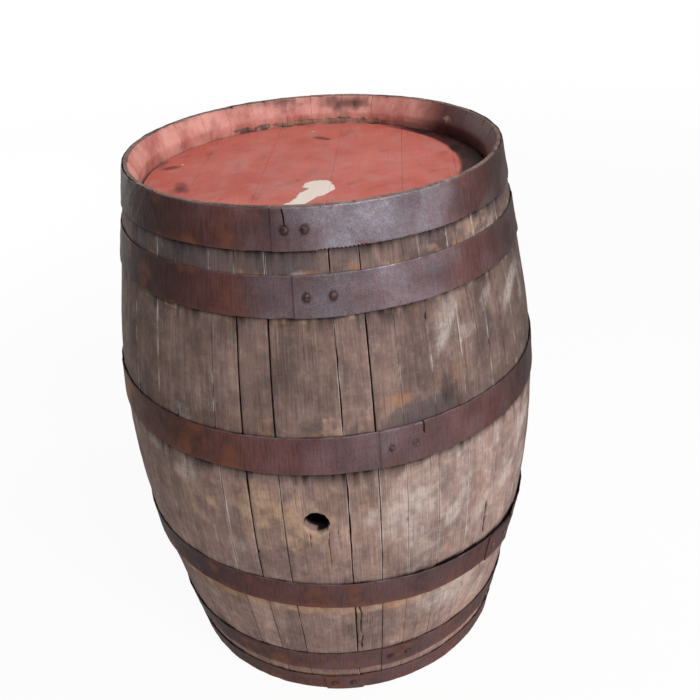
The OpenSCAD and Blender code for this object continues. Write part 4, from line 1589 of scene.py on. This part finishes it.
    def cutter(self) -> Piece | None:
        """A wedge for the tear in the upper chime hoop or the notch in the upper bilge hoop."""
        if self.size.node == "top_chime_hoop":
            azimuth, length, half, lean = -2.9, 27.0, 1.5, 9.0
        elif self.size.node == "top_bilge_hoop":
            azimuth, length, half, lean = 27.2, 19.0, 1.7, 2.0
        else:
            return None
        top = self.size.high
        down = np.array([6.0, 0.0, -0.35 * length, -0.7 * length, -length])
        wide = np.array([1.15, 1.05, 0.9, 0.75, 0.25]) * half
        drift = np.array([0.0, 0.0, 0.5, -0.3, 0.4])
        u = np.array([-1.0, 1.0])[:, None, None]
        middle = drift[None, :, None] + down[None, :, None] * math.tan(math.radians(-lean))
        x = (u * wide[None, :, None] + middle) + 0.0 * np.zeros((1, 1, 2))
        z = top + down[None, :, None] + 0.0 * x
        r = self.outline.radius_at(top) + np.array([-14.0, 22.0])[None, None, :] + 0.0 * x
        turn = math.radians(azimuth)
        points = np.stack(
            [x * math.cos(turn) + r * math.sin(turn), x * math.sin(turn) - r * math.cos(turn), z], axis=-1
        )
        return lattice_piece(self.size.node + "_cutter", points[:, ::-1])

    def dress(self, piece: Piece, seed: int) -> None:
        """Stores the fields of rubbed steel with a painted sheen at the front, dirt, fresh rust and tone with painted
        shade towards both sides over the strip's points.
        """
        points = positions(piece)
        azimuth = azimuth_of(points)
        middle = self.size.middle + self.size.rise(azimuth, self.outline.radius_at(self.size.middle))
        share = (points[:, 2] - middle) / self.size.width + 0.5
        noise = point_noise(seed + 40, points, 110.0)
        quick = point_noise(seed + 41, points, 35.0)
        to_edge = np.minimum(share, 1.0 - share) * self.size.width
        # Painted sheen: the steel is rubbed grey in a band round the front, where the highlight falls.
        front = hump(turn_from(azimuth, 19.0), 0.0, 20.0)
        shiny = {"top_chime_hoop": 1.0, "top_quarter_hoop": 0.55, "top_bilge_hoop": 0.3}.get(self.size.node, 0.15)
        cloudy = 0.25 * unit(noise) * (1.0 - 0.85 * window(azimuth, -100.0, -10.0, 8.0))
        worn = shiny * (front * 0.95 + cloudy) + 0.35 * np.exp(-to_edge / 0.8)
        dirt = 0.35 * np.exp(-to_edge / 3.0) * unit(0.5 + 0.5 * quick) + 0.12 * unit(noise - 0.4)
        low_edge = np.exp(-np.maximum(share, 0.0) * self.size.width / 6.0)
        bright = 0.35 * low_edge * unit(0.5 + 0.5 * quick) + 0.3 * unit(-noise - 0.5)
        if self.size.node.startswith("low_"):
            bright = bright + 0.4 * low_edge + 0.22 + 0.06 * quick
        else:
            fresh = 0.42 if self.size.node == "top_bilge_hoop" else 0.2
            bright = bright + fresh * window(azimuth, -80.0, -14.0, 12.0)
        ring = 0.35 if self.size.node in ("top_bilge_hoop", "low_bilge_hoop") else 0.8
        for k in (0, 1):
            at = self.size.lap_end - self.size.side.value * self.degrees(self.rivet_edge + k * self.size.pitch)
            off = np.radians(turn_from(azimuth, at)) * self.outline.radius_at(self.size.middle)
            away = np.hypot(off, points[:, 2] - middle)
            dirt = dirt + ring * (1.0 - smooth(away, 5.0, 9.0))
        # Painted shade: the tone darkens the hoops towards the far right and the far left, easing again round the back.
        right = 0.74 * smooth(azimuth, 38.0, 70.0) * (1.0 - 0.6 * smooth(azimuth, 90.0, 120.0))
        left = 0.72 * smooth(-azimuth, 10.0, 46.0) * (1.0 - 0.6 * smooth(-azimuth, 90.0, 120.0))
        tone = (1.0 + 0.1 * noise) * (1.0 - right - left)
        if self.size.node == "top_quarter_hoop":
            tone = tone * (1.0 - 0.3 * window(azimuth, -12.0, 12.0, 5.0))
            worn = worn + 0.3 * window(azimuth, -12.0, 12.0, 6.0)
        if self.size.node == "top_chime_hoop":
            tone = tone * (1.0 - 0.2 * window(azimuth, -11.0, 4.0, 4.0))
        tone = tone * {"low_bilge_hoop": 0.82, "low_quarter_hoop": 0.92}.get(self.size.node, 1.0)
        paint_points(piece, "wear_sheen_and_shade", [unit(worn), unit(dirt), unit(bright), tone])

    def build(self, material: Material, seed: int) -> None:
        """Builds, cuts, dresses and places the hoop."""
        points, flow = self.shape(seed)
        piece = lattice_piece(self.size.node + "_steel", points, flow)
        cutter = self.cutter()
        if cutter is not None:
            carve(piece, cutter)
        crease(piece, 42.0)
        self.dress(piece, seed)
        place(piece, material, "rusty_steel", self.size.node)


@dataclass
class Rivets:
    """Twelve hammered rivets, two in the lap of each hoop."""

    outline: Outline
    head_r: float = 5.0
    head_h: float = 3.0
    shank_r: float = 2.5
    rounds: int = 28

    def rivet(self, seed: int) -> tuple[Array, Array]:
        """One rivet about its own axis, with its head's underside at 0: a profile turned once.

        The head is a dome whose height is head_h (1 - t^2.4)^0.62 at a share t of its radius,
        with a seeded wobble.

        Args:
            seed: Seed of the wobble.

        Returns:
            Points, and faces of four corners as indices into them.
        """
        t = np.linspace(0.0, 1.0, 9)
        dome_r = self.head_r * t[::-1]
        dome_z = self.head_h * (1.0 - t[::-1] ** 2.4) ** 0.62
        radius = np.concatenate([[self.shank_r] * 3, [self.head_r * 0.96, self.head_r], dome_r[1:-1]])
        rise = np.concatenate([[-4.2, -2.0, 0.12], [0.12, 0.5], 0.5 + dome_z[1:-1] * (self.head_h - 0.5) / self.head_h])
        turn = np.linspace(0.0, FULL_TURN, self.rounds + 1)[:-1]
        rng = np.random.default_rng(seed)
        phase = rng.uniform(0.0, 6.28, 3)
        wobble = 1.0 + 0.035 * np.cos(2.0 * turn + phase[0]) + 0.02 * np.cos(5.0 * turn + phase[1])
        out = radius[None, :] * np.where(radius > self.shank_r + 0.1, np.minimum(wobble, 1.0)[:, None], 1.0)
        lean = 1.0 - 0.08 * (radius / self.head_r)[None, :] * np.maximum(np.cos(turn + phase[2]), 0.0)[:, None]
        up = np.where(rise > 0.6, rise[None, :] * lean, rise[None, :])
        ring = np.stack([out * np.cos(turn)[:, None], out * np.sin(turn)[:, None], up], axis=-1)
        count, rings = ring.shape[:2]
        index = np.arange(count * rings).reshape(count, rings)
        after = np.roll(index, -1, axis=0)
        quads = np.stack([index[:, :-1], after[:, :-1], after[:, 1:], index[:, 1:]], axis=-1).reshape(-1, 4)
        points = np.concatenate([ring.reshape(-1, 3), [[0.0, 0.0, rise[0]], [0.0, 0.0, self.head_h]]])
        base = count * rings
        even = index[::2]
        mid = index[1::2]
        nxt = after[1::2]
        low_cap = np.stack([nxt[:, 0], mid[:, 0], even[:, 0], np.full(len(even), base)], axis=-1)
        high_cap = np.stack([even[:, -1], mid[:, -1], nxt[:, -1], np.full(len(even), base + 1)], axis=-1)
        return points, np.concatenate([quads, low_cap, high_cap])

    def build(self, material: Material) -> None:
        """Sets two rivets square to each lap and places them as one piece."""
        all_points, all_quads, total = [], [], 0
        for order, size in enumerate(HOOPS):
            hoop = Hoop(size, self.outline)
            slope = self.outline.slope(size.middle)
            face = self.outline.radius_at(size.middle) + size.clearance + 2.0 * hoop.thickness + hoop.lap_clearance
            for k in (0, 1):
                azimuth = size.lap_end - size.side.value * hoop.degrees(hoop.rivet_edge + k * size.pitch)
                points, quads = self.rivet(60 + 2 * order + k)
                round_cask = Matrix.Rotation(math.radians(azimuth), 3, "Z")
                turned = round_cask @ Matrix.Rotation(math.radians(90.0) - slope, 3, "X")
                foot = np.array(round_cask @ Vector((0.0, -face, 0.0)))
                points = points @ np.array(turned).T + foot + np.array([0.0, 0.0, size.middle])
                all_points.append(hoop.tilt(points))
                all_quads.append(quads + total)
                total += len(points)
        points = np.concatenate(all_points)
        grain = np.stack([azimuth_of(points) * 0.006, points[:, 2] * MM], axis=-1)
        piece = write_mesh("hoop_rivets_steel", points, np.concatenate(all_quads), grain)
        crease(piece, 50.0)
        noise = point_noise(77, points, 8.0)
        height = points[:, 2]
        paler = 0.5 * window(height, 521.0, 581.0, 1.0) + 0.9 * window(height, 225.0, 300.0, 1.0)
        fields = [unit(0.25 + 0.2 * noise), unit(0.2 - 0.2 * noise), unit(0.15 + 0.2 * noise), 1.0 + paler]
        paint_points(piece, "wear_sheen_and_shade", fields)
        place(piece, material, "rivet_steel", "hoop_rivets")


# ---------------------------------------------------------------- stage


@dataclass(frozen=True)
class Lamp:
    """A soft square lamp, at an azimuth and an angle above the floor."""

    name: str
    azimuth: float
    height: float
    size: float
    power: float


@dataclass
class Studio:
    """Floor, lights and camera."""

    lens: float = 45.083
    camera_at: tuple[float, float, float] = (0.1429, -1.3376, 1.2874)
    yaw: float = -4.47
    pitch: float = -29.67
    roll: float = -3.69
    lamps: tuple[Lamp, ...] = (
        Lamp("key", 82.0, 62.0, 0.5, 30.0), Lamp("front", 36.0, 40.0, 1.2, 90.0), Lamp("back", 226.0, 9.0, 1.4, 46.0),
    )
    sensor: float = 36.0
    sight: float = 60.0
    lamp_distance: float = 3.6
    aim_height: float = 0.45
    floor_half: float = 14.0
    fill: float = 0.18

    def add_camera(self) -> None:
        """Sets the camera from its heading, pitch and roll."""
        yaw, pitch, roll = (math.radians(v) for v in (self.yaw, self.pitch, self.roll))
        ahead = Vector((math.sin(yaw) * math.cos(pitch), math.cos(yaw) * math.cos(pitch), math.sin(pitch)))
        level = ahead.cross(Vector((0.0, 0.0, 1.0))).normalized()
        upright = level.cross(ahead)
        right = level * math.cos(roll) + upright * math.sin(roll)
        up = upright * math.cos(roll) - level * math.sin(roll)
        data = bpy.data.cameras.new("camera")
        data.lens, data.sensor_width, data.clip_end = self.lens, self.sensor, self.sight
        camera = add_object("camera", data)
        turn = Matrix((right, up, -ahead)).transposed().to_4x4()
        camera.matrix_world = Matrix.Translation(Vector(self.camera_at)) @ turn
        bpy.context.scene.camera = camera

    def add_lamp(self, lamp: Lamp) -> None:
        """Sets up a lamp, aimed at the cask's middle."""
        azimuth, rise = math.radians(lamp.azimuth), math.radians(lamp.height)
        aim = Vector((0.0, 0.0, self.aim_height))
        away = Vector((math.sin(azimuth) * math.cos(rise), -math.cos(azimuth) * math.cos(rise), math.sin(rise)))
        data = bpy.data.lights.new(lamp.name, "AREA")
        data.size, data.energy = lamp.size, lamp.power
        item = add_object(lamp.name, data)
        item.location = aim + away * self.lamp_distance
        item.rotation_euler = (-away).to_track_quat("-Z", "Y").to_euler()

    def seen(self, graph: Graph) -> Socket:
        """1 for the rays of the camera, of reflections and of clear materials, which see white."""
        path = graph.add("ShaderNodeLightPath").outputs
        mirrored = graph.math("MAXIMUM", path["Is Glossy Ray"], path["Is Transmission Ray"])
        return graph.math("MAXIMUM", path["Is Camera Ray"], mirrored)

    def add_floor(self) -> None:
        """A wide pale floor, whitened towards the camera so that only the shadow shows."""
        mesh = bpy.data.meshes.new("floor")
        reach = self.floor_half
        corners = [(-reach, -reach, 0.0), (reach, -reach, 0.0), (reach, reach, 0.0), (-reach, reach, 0.0)]
        mesh.from_pydata(corners, [], [(0, 1, 2, 3)])
        floor = add_object("floor", mesh)
        graph = new_material("floor_white")
        seen = self.seen(graph)
        matt = graph.add("ShaderNodeBsdfDiffuse", {"Color": (0.86, 0.86, 0.86, 1.0)})
        glow = graph.add("ShaderNodeEmission", {"Color": WHITE, "Strength": 1.0})
        here = graph.here()
        away = graph.add("ShaderNodeVectorMath", {0: here}, operation="LENGTH").outputs["Value"]
        share = graph.times(seen, graph.span(away, 1.2, 5.0, 0.94, 1.0))
        blend = graph.add("ShaderNodeMixShader", {0: share, 1: matt.outputs[0], 2: glow.outputs[0]})
        graph.add("ShaderNodeOutputMaterial", {0: blend.outputs[0]})
        mesh.materials.append(graph.material)

    def add_world(self) -> None:
        """An even grey fill that the camera and reflections see as white."""
        world = bpy.data.worlds.new("sky")
        bpy.context.scene.world = world
        world.use_nodes = True
        graph = Graph(world.node_tree)
        seen = self.seen(graph)
        dim = graph.add("ShaderNodeBackground", {"Color": WHITE, "Strength": self.fill})
        white = graph.add("ShaderNodeBackground", {"Color": WHITE, "Strength": 1.0})
        blend = graph.add("ShaderNodeMixShader", {0: seen, 1: dim.outputs[0], 2: white.outputs[0]})
        graph.add("ShaderNodeOutputWorld", {0: blend.outputs[0]})

    def build(self) -> None:
        """Sets up the whole stage."""
        bpy.context.scene.view_settings.view_transform = "Standard"
        self.add_camera()
        for lamp in self.lamps:
            self.add_lamp(lamp)
        self.add_floor()
        self.add_world()


def dress_dowels(material: Material) -> None:
    """Gives the dowels, which keep their solids' shape, their oak."""
    for node in ("top_head_dowels", "bottom_head_dowels"):
        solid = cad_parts[node]
        if not solid.material_slots:
            solid.data.materials.append(material)
        for holder in solid.material_slots:
            holder.material = material
        LOG.info("%s: oak", node)


def main() -> None:
    """Builds the stage, the finishes and every sub-assembly in order."""
    logging.basicConfig(level=logging.INFO, format="%(name)s: %(message)s")
    Studio().build()
    effects = SharedEffects.build()
    oak = OakFinish().build(effects)
    painted = HeadFinish().build(effects)
    steel = SteelFinish(
        "rusty_steel", srgb(56, 34, 33), srgb(106, 67, 64), srgb(126, 76, 56), srgb(140, 139, 150)
    ).build(effects)
    rivet_steel = SteelFinish(
        "rivet_steel", srgb(40, 27, 26), srgb(74, 50, 47), srgb(92, 58, 46), srgb(116, 98, 96), depth=0.2
    ).build(effects)
    dowel = DowelFinish().build(effects)
    outline = Outline()
    Staves(outline).build(oak)
    Head("top", outline, True).build(painted)
    Head("bottom", outline, False).build(painted)
    for order, size in enumerate(HOOPS):
        Hoop(size, outline).build(steel, 200 + 10 * order)
    Rivets(outline).build(rivet_steel)
    dress_dowels(dowel)


if __name__ == "__main__":
    main()
